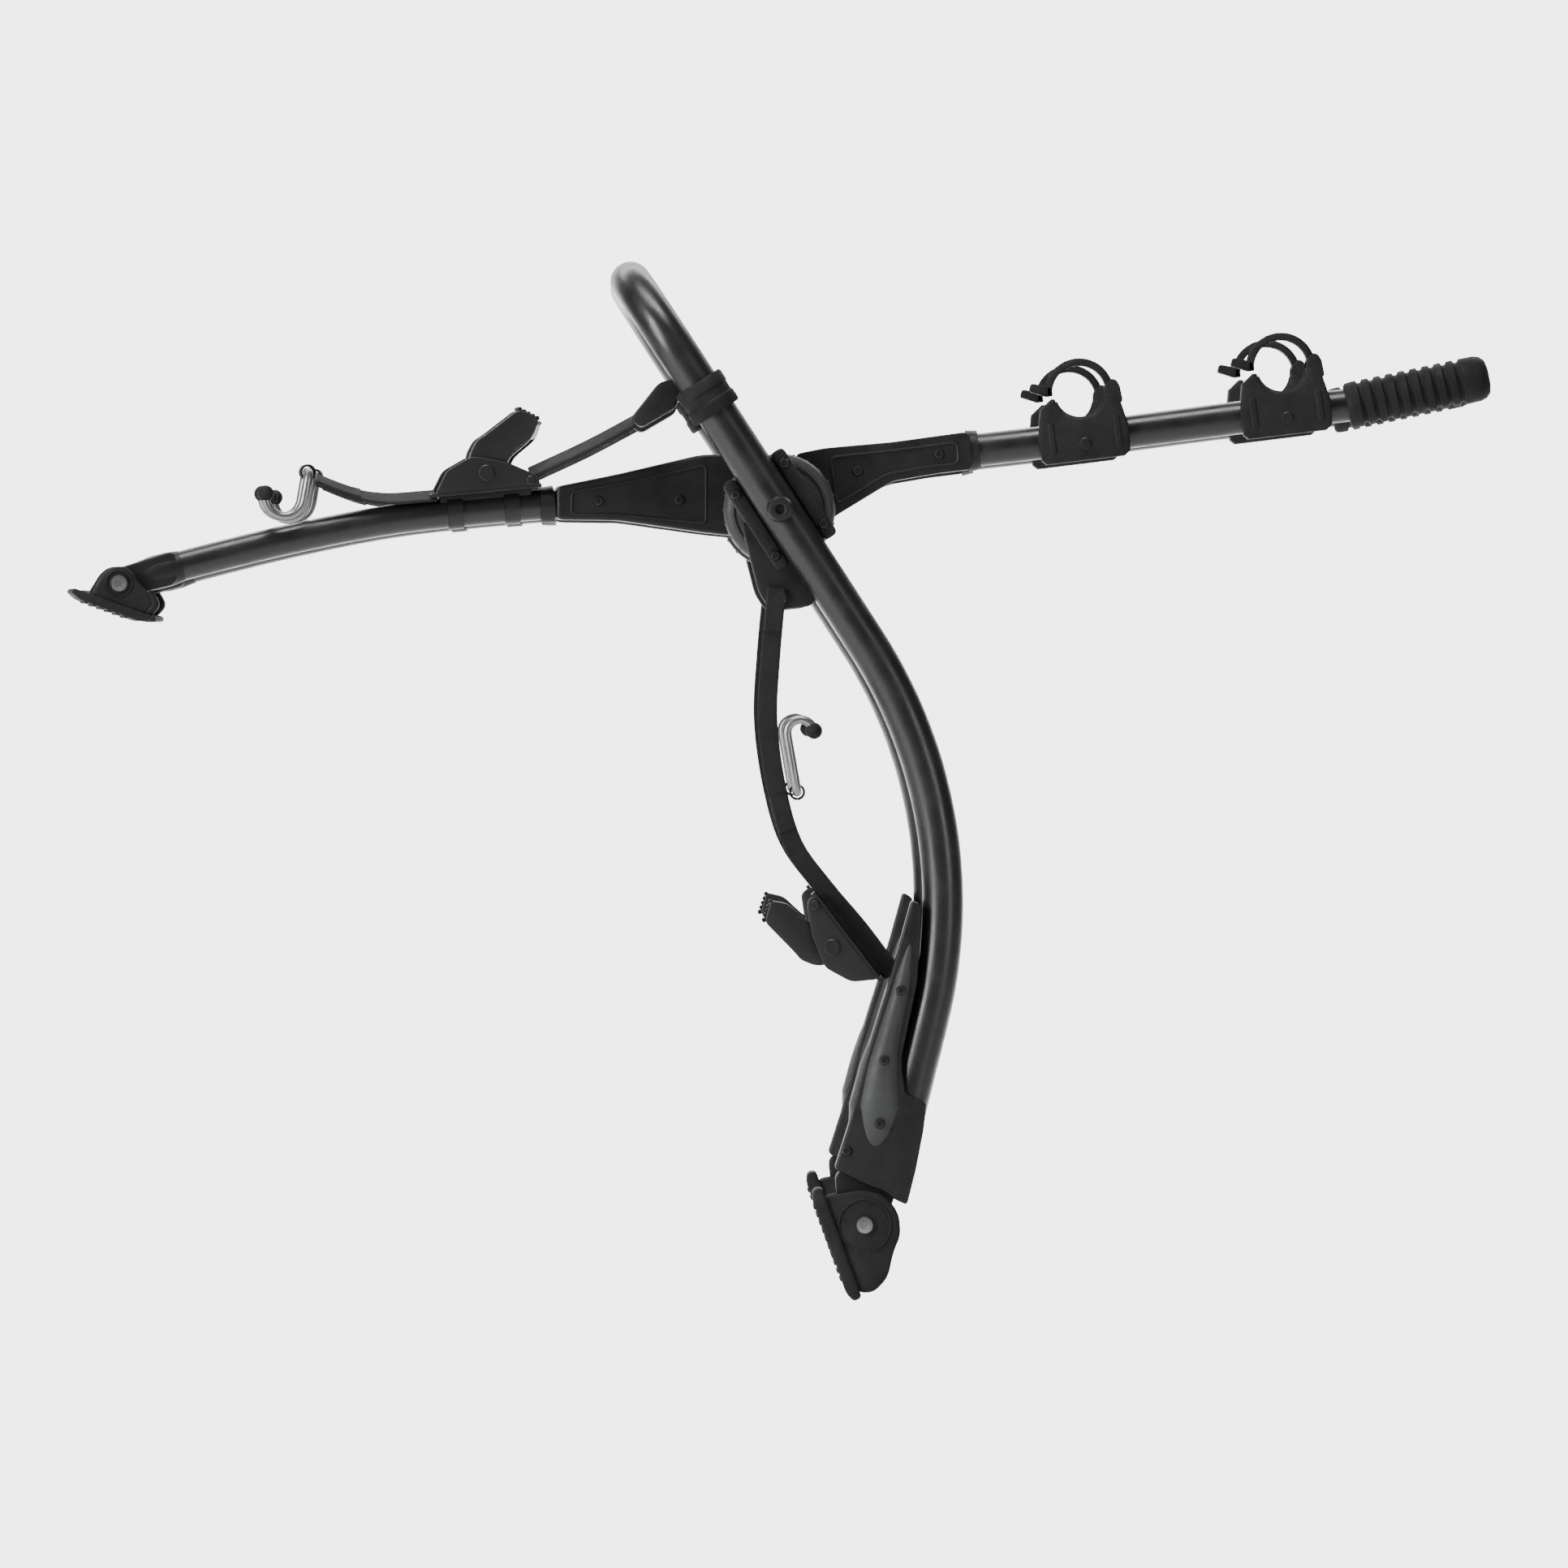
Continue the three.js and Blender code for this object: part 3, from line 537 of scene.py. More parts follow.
def build_casing(name, s):
    y0, y1 = CASING_Y
    profile = [(6, y0), (HUB_R - 0.8, y0), (HUB_R, y0 + 0.8), (HUB_R, y0 + 5),
               (HUB_R - 1.2, y0 + 6), (HUB_R - 1.2, y0 + 8), (HUB_R, y0 + 9),
               (HUB_R, y1 - 6), (HUB_R - 1.4, y1 - 2.4), (HUB_R - 4.5, y1),
               (HUB_R - 7, y1), (HUB_R - 7.6, y1 - 1), (HUB_R - 9.4, y1 - 1),
               (HUB_R - 10, y1), (6, y1)]
    parts = [(lathe([(r, s * y) for r, y in profile], 72), HUB)]
    rib_ring = HUB_R - 0.5
    for a in turns(24):
        x, z = rib_ring * math.cos(a), rib_ring * math.sin(a)
        parts.append((rod(1.3, s * (y0 + 9.5), s * (y1 - 6.5), x, z, 0.6, 10), HUB))
    piece("hub_shell_" + name, "frame", parts, "hub_casing_" + name)


def build_saddle(name, s):
    """Two rails beside the hoop on a base plate, and the ear that the lower strap hangs from."""
    base, top = 174.4, 189
    parts = []
    for low, high in ((-24, -HOOP_R - 0.2), (HOOP_R + 0.2, 24)):
        parts.append((plate(rounded(hoop_block(34, low, high), 4), s * base, s * top, 1.6), PLASTIC))
    parts.append((plate(rounded(hoop_block(32, -14.5, 14.5), 2), s * base, s * 177, 0.4), PLASTIC))
    ear = rounded([(-26, -8), (-4, -16), (25, -54), (22, -64), (-6, -67), (-14, -55)], 5)
    parts.append((plate(ear, s * 175, s * 188, 1.2), PLASTIC))
    parts.append((moved(rod(4.5, s * 174, s * 192.4, 0, 0, 1.2, 24), (1, 0, -58)), DARK_STEEL))
    for along in (-24, 24):
        for across in (-19, 19):
            parts.append((screw_head(3.6, s, top, *on_hoop(along, across)), DARK_STEEL))
    piece("hub_cradle_" + name, "frame", parts, "hub_saddle_" + name)


def build_bolt(name, s):
    top = HOOP_Y + HOOP_R
    profile = [(0, top + 1.4), (3.4, top + 1.4), (3.4, top + 4.6), (4.4, top + 5), (7.2, top + 4.3),
               (8.8, top + 2.2), (9, top + 0.2), (5, top - 3), (5, 151), (0, 151)]
    head = lathe([(r, s * y) for r, y in profile], 36)
    piece("hub_through_bolt_" + name, "frame", [(head, DARK_STEEL)], "hub_bolt_" + name)


def build_collar(name, s):
    low, high = COLLAR_Y
    profile = [(AXLE_R + 0.3, low), (LEG_RING_R - 1, low), (LEG_RING_R, low + 1),
               (LEG_RING_R, high - 2.4), (LEG_RING_R - 1.6, high), (AXLE_R + 0.3, high)]
    parts = [(lathe([(r, s * y) for r, y in profile], 48), DARK_STEEL)]
    for a in turns(30):
        x, z = LEG_RING_R * math.cos(a), LEG_RING_R * math.sin(a)
        parts.append((rod(0.9, s * (low + 1.4), s * (high - 2.6), x, z, 0.3, 8), DARK_STEEL))
    piece("hub_collar_" + name, "frame", parts, "axle_collar_" + name)


def build_axle():
    tube = lathe([(8, -148), (10.4, -148), (AXLE_R, -147.4), (AXLE_R, 147.4), (10.4, 148), (8, 148)], 40)
    parts = [(tube, DARK_STEEL)]
    clip = [(AXLE_R - 0.1, 73), (AXLE_R + 1.3, 73.5), (AXLE_R + 1.3, 77.5), (AXLE_R - 0.1, 78)]
    for _, s in SIDES:
        parts.append((lathe([(r, s * y) for r, y in clip], 40), STEEL))
    piece("axle", "frame", parts, "axle_tube")


# ---------- feet ----------

TONGUE_GAP = 13  # from a foot's side in to the tongue that it swings on


def foot_parts(foot):
    """A rubber boot in its own frame: the pin at the origin, the sole facing -Z, the toe towards +X."""
    reach, heel, toe, width, ear = (foot[k] for k in ("reach", "heel", "toe", "width", "ear"))
    half, top = width / 2, -foot["eye"] - 3
    cheek_inside, cheek_outside = half - TONGUE_GAP + 0.4, half - 3
    sole_line = rounded([(-heel, top), (-heel - 1, -reach + 3), (-heel + 6, -reach),
                         (toe - 6, -reach), (toe + 1, -reach + 3), (toe, top)], 3, 8)
    parts = [(plate(sole_line, -half, half, 2.0), RUBBER)]
    cheek = rounded([(-ear - 3, top - 2), (-ear * 0.95, ear * 0.25), (-ear * 0.6, ear * 0.78), (0, ear),
                     (ear * 0.6, ear * 0.84), (ear * 0.95, ear * 0.5), (toe - 6, ear * 0.1), (toe, top + 8),
                     (toe - 4, top - 2)], 6, 8)
    for k in (-1, 1):
        parts.append((plate(cheek, k * cheek_inside, k * cheek_outside, 2.2), RUBBER))
        rim = at(arc(0.72 * ear, 0, 360, 36), k * cheek_outside)
        parts.append((sweep(rim, 0.9, 8), RUBBER))
    pitch, margin = 5.6, 10.8
    for i in range(int((heel + toe - 16) // pitch)):
        x = -heel + margin + i * pitch
        rib = rounded([(x - 1.5, -reach + 1), (x - 1.1, -reach - 0.9),
                       (x + 1.1, -reach - 0.9), (x + 1.5, -reach + 1)], 0.5, 3)
        parts.append((plate(rib, -half + 3, half - 3, 0.4), RUBBER))
    return parts


def pin_parts(foot):
    half = foot["width"] / 2
    shank = rod(4, -half + 1.5, half - 1.5, 0, 0, 0.3, 24)
    profile = [(0, half - 0.5), (2.4, half - 0.5), (2.7, half), (5.2, half - 0.2),
               (5.9, half - 1.4), (5.9, half - 2.9), (0, half - 2.9)]
    heads = [lathe([(r, k * y) for r, y in profile], 28) for k in (-1, 1)]
    return [(bm, STEEL) for bm in (shank, *heads)]


def build_lower_end(name, s):
    """The lower foot, its pin, and the moulded shank that the hoop ends in."""
    x, z, turn = LOWER_FOOT["x"], LOWER_FOOT["z"], math.radians(LOWER_FOOT["turn"])
    where = dict(place=(x, s * HOOP_Y, z))
    piece("lower_foot_pad_" + name, name + "_lower_foot", placed(foot_parts(LOWER_FOOT), turn=turn, **where),
          "lower_foot_" + name)
    piece("lower_foot_bolt_" + name, "frame", placed(pin_parts(LOWER_FOOT), **where),
          "lower_foot_pin_" + name)

    middle_y, half_cover, eye = s * HOOP_Y, 16, LOWER_FOOT["eye"]
    hollow = arc(LOWER_FOOT["ear"] + 1.2, 80, 47, 8, x, z)
    cover = rounded(SHANK_OUTER + SHANK_INNER, 3, 6) + hollow
    parts = [(plate(cover, middle_y - half_cover, middle_y + half_cover, 2.6), PLASTIC)]
    middle = spline(SHANK_MIDDLE, 32, middle_y)
    radii, depths = [3, 9, 11.5, 20, 16], [13, 19, 21, 20.5, 13]
    # The crown is drawn in the paler hub plastic as a painted highlight down the middle of the shank, against
    # the black plastic of the cover.
    painted_highlight_crown = sweep(middle, graded(radii, len(middle)), 48, graded(depths, len(middle)))
    parts.append((painted_highlight_crown, HUB))
    half_neck = LOWER_FOOT["width"] / 2 - TONGUE_GAP
    root = z + LOWER_FOOT["ear"] + 12
    neck = rounded([(x - 20, root), (x + 25, root), (x + eye - 1, z), (x, z - eye + 0.5), (x - eye + 1, z),
                    (x - 18, z + 16)], 8, 10)
    parts.append((plate(neck, middle_y - half_neck, middle_y + half_neck, 1.2), PLASTIC))
    for px, pz, proud in [(80, -318, 19.2), (69, -364, 20.6), (44, -424, 16), (66, -406, 20)]:
        parts.append((screw_head(3.4, s, HOOP_Y + proud, px, pz), DARK_STEEL))
    piece("lower_shank_cover_" + name, "frame", parts, "lower_shank_" + name)


# ---------- ratchets and hooks ----------

# In the ratchet's own frame: the lever's axle, and the second axle near the frame's end, as (x, z).
PIVOT = (2, 13)
SECOND_AXLE = (31, 5.2)


def ratchet_frame_parts():
    half = BUCKLE_W / 2
    base = rounded([(-36, 0), (38, 0), (38, 2.6), (-36, 2.6)], 0.8, 3)
    parts = [(plate(base, -half, half, 0.5), DARK_STEEL)]
    cheek = rounded([(-34, 1), (36, 1), (36, 8), (16, 19), (-6, 25), (-24, 17)], 4, 8)
    px, pz = PIVOT
    wheel = []
    for i in range(14):
        a = 2 * math.pi * i / 14
        wheel += [Vector((px + 9.4 * math.cos(a), pz + 9.4 * math.sin(a))),
                  Vector((px + 7.4 * math.cos(a + 0.1), pz + 7.4 * math.sin(a + 0.1)))]
    for k in (-1, 1):
        parts.append((plate(cheek, k * (half - 2.6), k * half, 0.7), DARK_STEEL))
        parts.append((rod(5.4, k * (half - 0.1), k * (half + 1.6), *PIVOT, 0.8, 28), DARK_STEEL))
        parts.append((rod(3.2, k * (half - 0.1), k * (half + 1.4), *SECOND_AXLE, 0.6, 20), DARK_STEEL))
        parts.append((plate(wheel, k * (half - 2.5), k * (half - 4.4)), STEEL))
    parts.append((rod(4, -half + 1, half - 1, *PIVOT, 0.4, 24), STEEL))
    parts.append((rod(2.6, -half + 1, half - 1, *SECOND_AXLE, 0.4, 20), STEEL))
    coil = [Vector((px + r * math.cos(a), 0, pz + r * math.sin(a)))
            for a, r in ((t * 0.35, 4.6 + t * 0.06) for t in range(30))]
    parts.append((webbing_strip(coil, WEB_W - 2, 1.0), WEBBING))
    return parts


def ratchet_handle_parts(closed=0.0):
    """The lever, turned about its axle by `closed` from the position that the upper one has at rest."""
    half = BUCKLE_W / 2 - 3.0
    cheek = rounded([(-5, 7), (-9, 14), (-8, 26), (-2, 35), (4, 38), (28, 53), (41, 46), (36, 35), (20, 24),
                     (12, 9), (3, 6)], 4, 8)
    px, pz = PIVOT
    eye = [Vector((px + 4.4 * math.cos(a), pz + 4.4 * math.sin(a))) for a in turns(24)]
    parts = [(plate(cheek, k * (half - 5), k * half, 0.9, [eye]), DARK_STEEL) for k in (-1, 1)]
    grip = rounded([(20, 40), (28, 53), (41, 46), (36, 35), (30, 36), (26, 44)], 3, 8)
    parts.append((plate(grip, -half + 0.6, half - 0.6, 1.0), DARK_STEEL))
    for i in range(5):
        t = i / 4
        parts.append((rod(1.5, -half + 2, half - 2, 29 + 11 * t, 53 - 7 * t, 0.6, 12), RUBBER))
    pawl = rounded([(6, 20), (20, 29), (30, 35), (29, 37.5), (5, 23)], 1, 4)
    parts.append((plate(pawl, -half + 5.4, half - 5.4, 0.6), STEEL))
    parts.append((rod(2.2, -half + 0.4, half - 0.4, 4, 32, 0.5, 18), STEEL))
    return placed(placed(parts, place=(-px, 0, -pz)), place=(px, 0, pz), turn=closed)


def hook_parts(spread, shank, curl):
    """A wire hook with two prongs, its crossbar at the origin. The strap is looped round the crossbar."""
    stations = []
    for k in (-1, 1):
        y = k * spread / 2
        corner = [Vector((0, k * (spread / 2 - 4), 0)), Vector((-1.2, k * (spread / 2 - 1.2), 0))]
        straight = [Vector((-4 - (shank - 4) * t, y, 0)) for t in (0.0, 0.35, 0.7)]
        prong = [Vector((-shank - abs(curl) * math.sin(a), y, curl * (math.cos(a) - 1)))
                 for a in (i / 16 * math.pi for i in range(17))]
        branch = corner + straight + prong
        stations += reversed(branch) if k < 0 else branch
    parts = [(sweep(stations, WIRE_R, 20), STEEL)]
    for end in (stations[0], stations[-1]):
        ball = bmesh.new()
        bmesh.ops.create_icosphere(ball, subdivisions=3, radius=BALL_R)
        parts.append((moved(ball, end), RUBBER))
    loop = at(arc(4.6, 0, 360, 20), 0)
    parts.append((webbing_strip(loop, spread - 12, 1.6), WEBBING))
    return parts


def stitches(stations, width, lift, step=3.0):
    """Short thread stitches in two rows along a strap."""
    parts = []
    length = sum((b - a).length for a, b in zip(stations, stations[1:]))
    fine = resampled(stations, max(2, int(length / step)))
    for i in range(0, len(fine) - 1, 2):
        tangent = (fine[i + 1] - fine[i]).normalized()
        up = Vector((0, 1, 0)).cross(tangent) * lift
        for k in (-1, 1):
            off = Vector((0, k * width / 2, 0)) - up
            middle = fine[i].lerp(fine[i + 1], 0.5) + off - up.normalized() * 0.25
            parts.append((sweep([fine[i] + off, middle, fine[i + 1] + off], 0.4, 6), RUBBER))
    return parts


# ---------- lower straps ----------


def build_lower_strap(name, s):
    wide = Vector((1, 0, 0))
    stations = spline(LOWER_STRAP_LINE, 56, s * HOOP_Y)
    into_shank = (stations[-1] - stations[-2]).normalized() * 13
    stations.append(stations[-1] + into_shank)
    parts = [(webbing_strip(stations, LOWER_STRAP_W, WEB_T, wide), WEBBING)]
    for first, last in ((0, 6), (29, 34), (51, 57)):  # sewn double at both ends and at the hook
        doubled = stations[first:last + 1]
        parts.append((webbing_strip(doubled, LOWER_STRAP_W - 0.6, WEB_T * 1.9, wide), WEBBING))
    piece("lower_webbing_" + name, "frame", parts, "lower_strap_" + name)


def build_lower_ratchet(name, s):
    x, z, turn = LOWER_BUCKLE
    how = dict(place=(x, s * HOOP_Y, z), turn=math.radians(turn))
    under = plate(rounded([(-33, 1), (35, 1), (35, -3), (-31, -3)], 1.2, 4), -9, 9, 0.5)
    frame_parts = placed(ratchet_frame_parts() + [(under, WEBBING)], **how)
    piece("lower_ratchet_frame_" + name, "frame", frame_parts, "lower_buckle_" + name)
    lever = placed(ratchet_handle_parts(LOWER_LEVER_CLOSED), **how)
    piece("lower_ratchet_lever_" + name, name + "_lower_ratchet", lever,
          "lower_ratchet_handle_" + name)
    x, z, turn = LOWER_HOOK
    hook = placed(hook_parts(*LOWER_HOOK_SHAPE), place=(x, s * HOOP_Y, z), turn=math.radians(turn))
    piece("lower_wire_hook_" + name, "frame", hook, "lower_hook_" + name)


# ---------- legs ----------


def in_leg(parts, s, x=0.0, z=0.0, turn=0.0):
    """Parts put at a place in the leg, which is splayed about Z."""
    local = placed(parts, place=(x, 0, z), turn=math.radians(turn))
    return placed(local, place=(0, s * LEG_Y, 0), splay=-s * LEG_SPLAY)


def ferrule(line, low, high, radius, lip, sides):
    """A sleeve round the stretch of a tube between two stations on X, with a lip on its first ring."""
    near = [p for p in line if low < p.x < high]
    return sweep(near, [radius + lip] + [radius] * (len(near) - 1), sides)


def build_leg_bar(name, s):
    line = spline(LEG_LINE, 40)
    x, z, eye = (UPPER_FOOT[k] for k in ("x", "z", "eye"))
    half = UPPER_FOOT["width"] / 2 - TONGUE_GAP
    tongue = rounded([(-404, -27), (x - 3, z + eye - 1), (x - eye, z), (x, z - eye), (-402, -49)], 6, 8)
    cap_radii = [LEG_R + 0.3, LEG_R + 1.4, LEG_R + 1.4, LEG_R + 0.2]
    parts = [(sweep(line, LEG_R, 32), POWDER), (plate(tongue, -half, half, 1.0), PLASTIC),
             (sweep(line[-4:], cap_radii, 32), PLASTIC)]
    piece("leg_bar_" + name, name + "_leg", in_leg(parts, s), "leg_tube_" + name)


def build_leg_socket(name, s):
    y0, y1 = LEG_RING_Y
    profile = [(AXLE_R + 0.4, y0), (LEG_RING_R - 0.8, y0), (LEG_RING_R, y0 + 0.8),
               (LEG_RING_R, y1 - 0.8), (LEG_RING_R - 0.8, y1), (AXLE_R + 0.4, y1)]
    ring = lathe([(r, s * y) for r, y in profile], 56)
    half = 12.5
    outline = rounded([(-11, 20), (-28, 37.5), (-52, 37), (-108, 24), (-150, 15.5), (-150, -6.5),
                       (-108, -7), (-51, -15), (-11, -19)], 5, 8)
    inset = rounded([(-50, 30), (-104, 18.5), (-140, 12), (-140, -3), (-106, -3), (-50, -9)], 4, 6)
    wedge = [(plate(outline, -half, half, 2.2), PLASTIC)]
    for k in (-1, 1):
        wedge.append(outlined(inset, k * half, 0.8))
        wedge += [(screw_head(3.4, k, half, px, pz), DARK_STEEL) for px, pz in ((-68, 7), (-122, 6))]
    wedge.append((ferrule(spline(LEG_LINE, 40), -160, -143, LEG_R + 1.8, 0.8, 32), PLASTIC))
    piece("leg_hub_socket_" + name, name + "_leg", [(ring, PLASTIC)] + in_leg(wedge, s),
          "leg_socket_" + name)


def build_leg_foot(name, s):
    x, z, turn = (UPPER_FOOT[k] for k in ("x", "z", "turn"))
    piece("upper_foot_pad_" + name, name + "_upper_foot", in_leg(foot_parts(UPPER_FOOT), s, x, z, turn),
          "upper_foot_" + name)
    piece("upper_foot_bolt_" + name, name + "_leg", in_leg(pin_parts(UPPER_FOOT), s, x, z),
          "upper_foot_pin_" + name)


def build_upper_ratchet(name, s):
    body = name + "_leg"
    x, z, turn = UPPER_BUCKLE
    pad = plate(rounded([(-30, 0.6), (32, 0.6), (31, -6), (-29, -6)], 1.5, 4), -7, 7, 0.6)
    parts = in_leg(ratchet_frame_parts() + [(pad, DARK_STEEL)], s, x, z, turn)
    fine = spline(LEG_LINE, 180)
    bands = [(ferrule(fine, low, low + 12, LEG_R + 1.3, 0, 32), DARK_STEEL) for low in (-223, -185)]
    piece("upper_ratchet_frame_" + name, body, parts + in_leg(bands, s), "upper_buckle_" + name)
    piece("upper_ratchet_lever_" + name, name + "_upper_ratchet",
          in_leg(ratchet_handle_parts(), s, x, z, turn), "upper_ratchet_handle_" + name)
    x, z, turn = UPPER_HOOK
    piece("upper_wire_hook_" + name, body, in_leg(hook_parts(*UPPER_HOOK_SHAPE), s, x, z, turn),
          "upper_hook_" + name)


def build_upper_strap(name, s):
    stations = spline(UPPER_STRAP_LINE, 24)
    stations[0] = stations[0].lerp(stations[1], -2.4)  # runs on into the ratchet
    doubled = stations[14:]
    across = Vector((0, 1, -s * STRAP_TWIST)).normalized()
    strap = [(webbing_strip(stations, WEB_W, WEB_T, across), WEBBING),
             (webbing_strip(doubled, WEB_W - 2, WEB_T * 1.9, across), WEBBING)]
    strap += stitches(doubled, WEB_W - 6, WEB_T * 0.95)
    piece("upper_webbing_" + name, name + "_leg", in_leg(strap, s), "upper_strap_" + name)


def build_upper_tail(name, s):
    """The strap between the leg's ratchet and the hoop's anchor. It rides on no body."""
    centre = spline(TAIL_LINE, 30, s * TAIL_Y)
    stations = [centre[0].lerp(centre[3], -1.3), *centre, centre[-1].lerp(centre[-4], -1.1)]
    for i, p in enumerate(stations):
        p.y += s * TAIL_SLANT * (i / (len(stations) - 1) - 0.5)
    across = Vector((0, 1, -s * TAIL_TWIST)).normalized()
    strip = webbing_strip(stations, WEB_W - 2, WEB_T, across)
    obj = piece("upper_webbing_tail_" + name, None, [(strip, WEBBING)], "upper_strap_tail_" + name)
    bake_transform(obj)


def build_anchor(name, s):
    """The band round the hoop, and the lug that holds the upper strap."""
    middle = ALONG * -88
    inside, waist, rim = HOOP_R + 0.3, HOOP_R + 3.2, HOOP_R + 4
    clip = lathe([(inside, -12), (HOOP_R + 3, -12), (rim, -10.6), (rim, -4), (waist, -3),
                  (waist, 3), (rim, 4), (rim, 10.6), (HOOP_R + 3, 12), (inside, 12)], 48)
    laid(clip, (middle.x, s * HOOP_Y, middle.z), HOOP_TILT)
    x, z = ANCHOR
    outline = rounded([(x + 8, z + 18), (x - 8, z + 14), (x - 27, z - 10), (x - 20, z - 16),
                       (x + 4, z - 2)], 4, 8)
    lug_inside = 124
    lug = plate(outline, s * lug_inside, s * 176, 1.4)
    parts = [(clip, RUBBER), (lug, PLASTIC), (screw_head(4.2, -s, -lug_inside, x - 6, z + 4), STEEL)]
    piece("strap_anchor_clip_" + name, "frame", parts, "strap_anchor_" + name)


# ---------- arms ----------


def build_arm_bar(name, s):
    bar = sweep(spline(ARM_LINE, 40, s * ARM_Y), ARM_R, 36)
    piece("arm_bar_" + name, name + "_arm", [(bar, POWDER)], "arm_tube_" + name)


def build_arm_socket(name, s):
    y0, y1 = ARM_RING_Y
    profile = [(AXLE_R + 0.4, y0), (HUB_R - 3, y0), (HUB_R, y0 + 2.4),
               (HUB_R, y1 - 0.8), (HUB_R - 0.8, y1), (AXLE_R + 0.4, y1)]
    ring = lathe([(r, s * y) for r, y in profile], 72)
    outline = rounded([(10, 37), (30, 41), (75, 45), (126, 52), (129, 27), (104, 24), (75, 19), (34, -6),
                       (24, -24)], 5, 8)
    inset = rounded([(34, 35), (76, 39.5), (118, 45), (119, 31), (100, 29), (72, 24), (38, 4)], 4, 6)
    parts = [(ring, PLASTIC), (plate(outline, s * y0, s * y1, 2.6), PLASTIC)]
    for face, outward in ((-y0, -s), (y1, s)):  # a face's station is measured along its own outward side
        parts.append(outlined(inset, face * outward, 0.9))
        parts += [(screw_head(3.6, outward, face, px, pz), DARK_STEEL) for px, pz in ((52, 26), (106, 37))]
    line = spline(ARM_LINE, 40, s * ARM_Y)
    parts.append((ferrule(line, 122, 139, ARM_R + 2, 1, 36), PLASTIC))
    piece("arm_hub_socket_" + name, name + "_arm", parts, "arm_socket_" + name)


def build_arm_grip(name, s):
    (x0, z0), (x1, z1) = ARM_LINE[-1], TIP_END
    length = math.hypot(x1 - x0, z1 - z0) + 12
    crest, valley = 15.4, 13.4
    profile = [(0, 0.5), (13.6, 0.5), (15, 2), (crest, 6)]
    for i in range(9):
        start = 9 + i * 8.2
        profile += [(crest, start), (valley, start + 1.2), (valley, start + 3), (crest, start + 4.4)]
    profile += [(15.2, length - 8), (14, length - 4), (11, length - 1), (6.5, length), (0, length)]
    tip = laid(lathe(profile, 40), (x0 - 8, s * ARM_Y, z0 - 1.5), -math.atan2(z1 - z0, x1 - x0))
    piece("arm_grip_" + name, name + "_arm", [(tip, RUBBER)], "arm_tip_" + name)


def build_arm_lock(name, s):
    """The spring plunger, on a circle about the hub axis."""
    reach, turn = 30.5, math.radians(68)
    profile = [(0, 103), (4, 103), (5.5, 104.4), (5.5, 107), (4.4, 108), (4.4, 109.5),
               (5.5, 110.5), (5.2, 113), (2.8, 113), (2.8, 149), (0, 149)]
    place = (reach * math.cos(turn), 0, reach * math.sin(turn))
    knob = moved(lathe([(r, s * y) for r, y in profile], 28), place)
    piece("arm_lock_pin_" + name, name + "_arm_lock", [(knob, STEEL)], "arm_lock_plunger_" + name)


def saddle_parts():
    """A cradle's saddle in its own frame: a block with a ribbed trough and lugs for the band's hinge."""
    closed = [(19, 28), (26, 23), (30, 4), (29, -12), (25, -15), (-27, -15), (-30, -12), (-31, 2), (-27, 22),
              (-19, 28)]
    outline = [Vector(p) for p in closed] + arc(TROUGH_R, -172, -8, 24, 0, TROUGH_Z)
    parts = [(plate(outline, -17, 17, 2.0), RUBBER)]
    for k in range(-2, 3):
        rib = at(arc(TROUGH_R, -165, -15, 16, 0, TROUGH_Z), k * 6.4)
        parts.append((sweep(rib, 1.1, 8), RUBBER))
    lug = rounded([(15, 20), (28, 20), (27, 33), (22, 37), (17, 33)], 3, 6)
    for k in (-1, 1):
        for x in (-22, 22):
            bar = rounded([(x - 2, -9), (x - 2, 12), (x + 2, 12), (x + 2, -9)], 1.6, 5)
            parts.append((plate(bar, k * 16.6, k * 17.8, 0.5), PLASTIC))
        parts.append((rod(4.2, k * 15, k * 18, 0, -4, 1.0, 24), PLASTIC))
        parts.append((plate(lug, k * 12.6, k * 16.4, 0.8), RUBBER))
    parts.append((rod(2.2, -15.5, 15.5, BAND_R, HINGE_Z, 0.4, 16), STEEL))
    return parts


def band_parts():
    """A cradle's rubber band in the same frame: an arch from the hinge to a tab, with bars and edges."""
    half = 12
    arch = arc(BAND_R, 0, 180, 32, 0, TROUGH_Z) + arc(TROUGH_R + 1, 180, 0, 32, 0, TROUGH_Z)
    tab = rounded([(-17.6, 30), (-18, 36), (-31, 40), (-33, 35), (-22, 30)], 1.4, 5)
    hinge = rod(4.6, -half, half, BAND_R, HINGE_Z, 0.8, 28)
    parts = [(plate(arch, -half, half, 0.9), RUBBER), (hinge, RUBBER), (plate(tab, -half, half, 0.8), RUBBER)]
    for p in arc(BAND_R + 0.2, 40, 142, 6, 0, TROUGH_Z):
        parts.append((sweep([Vector((p.x, y, p.y)) for y in (-8.5, 8.5)], 0.9, 8), RUBBER))
    for y in (-10.6, 10.6):
        parts.append((sweep(at(arc(BAND_R, 8, 172, 24, 0, TROUGH_Z), y), 0.9, 8), RUBBER))
    return parts


def build_cradles(name, s):
    for which, x, z in CRADLES:
        how = dict(place=(x, s * ARM_Y, z), turn=CRADLE_TILT)
        piece(f"cradle_saddle_{which}_{name}", name + "_arm", placed(saddle_parts(), **how),
              f"cradle_{which}_{name}")
        piece(f"cradle_band_{which}_{name}", f"{name}_{which}_cradle_strap", placed(band_parts(), **how),
              f"cradle_strap_{which}_{name}")


build_hoop()
build_axle()
for side_name, side_sign in SIDES:
    for build in (build_casing, build_saddle, build_bolt, build_collar, build_lower_end, build_lower_strap,
                  build_lower_ratchet, build_leg_bar, build_leg_socket, build_leg_foot, build_upper_ratchet,
                  build_upper_strap, build_anchor, build_upper_tail, build_arm_bar, build_arm_socket,
                  build_arm_grip, build_arm_lock, build_cradles):
        build(side_name, side_sign)

# ---------- stage, light and camera ----------

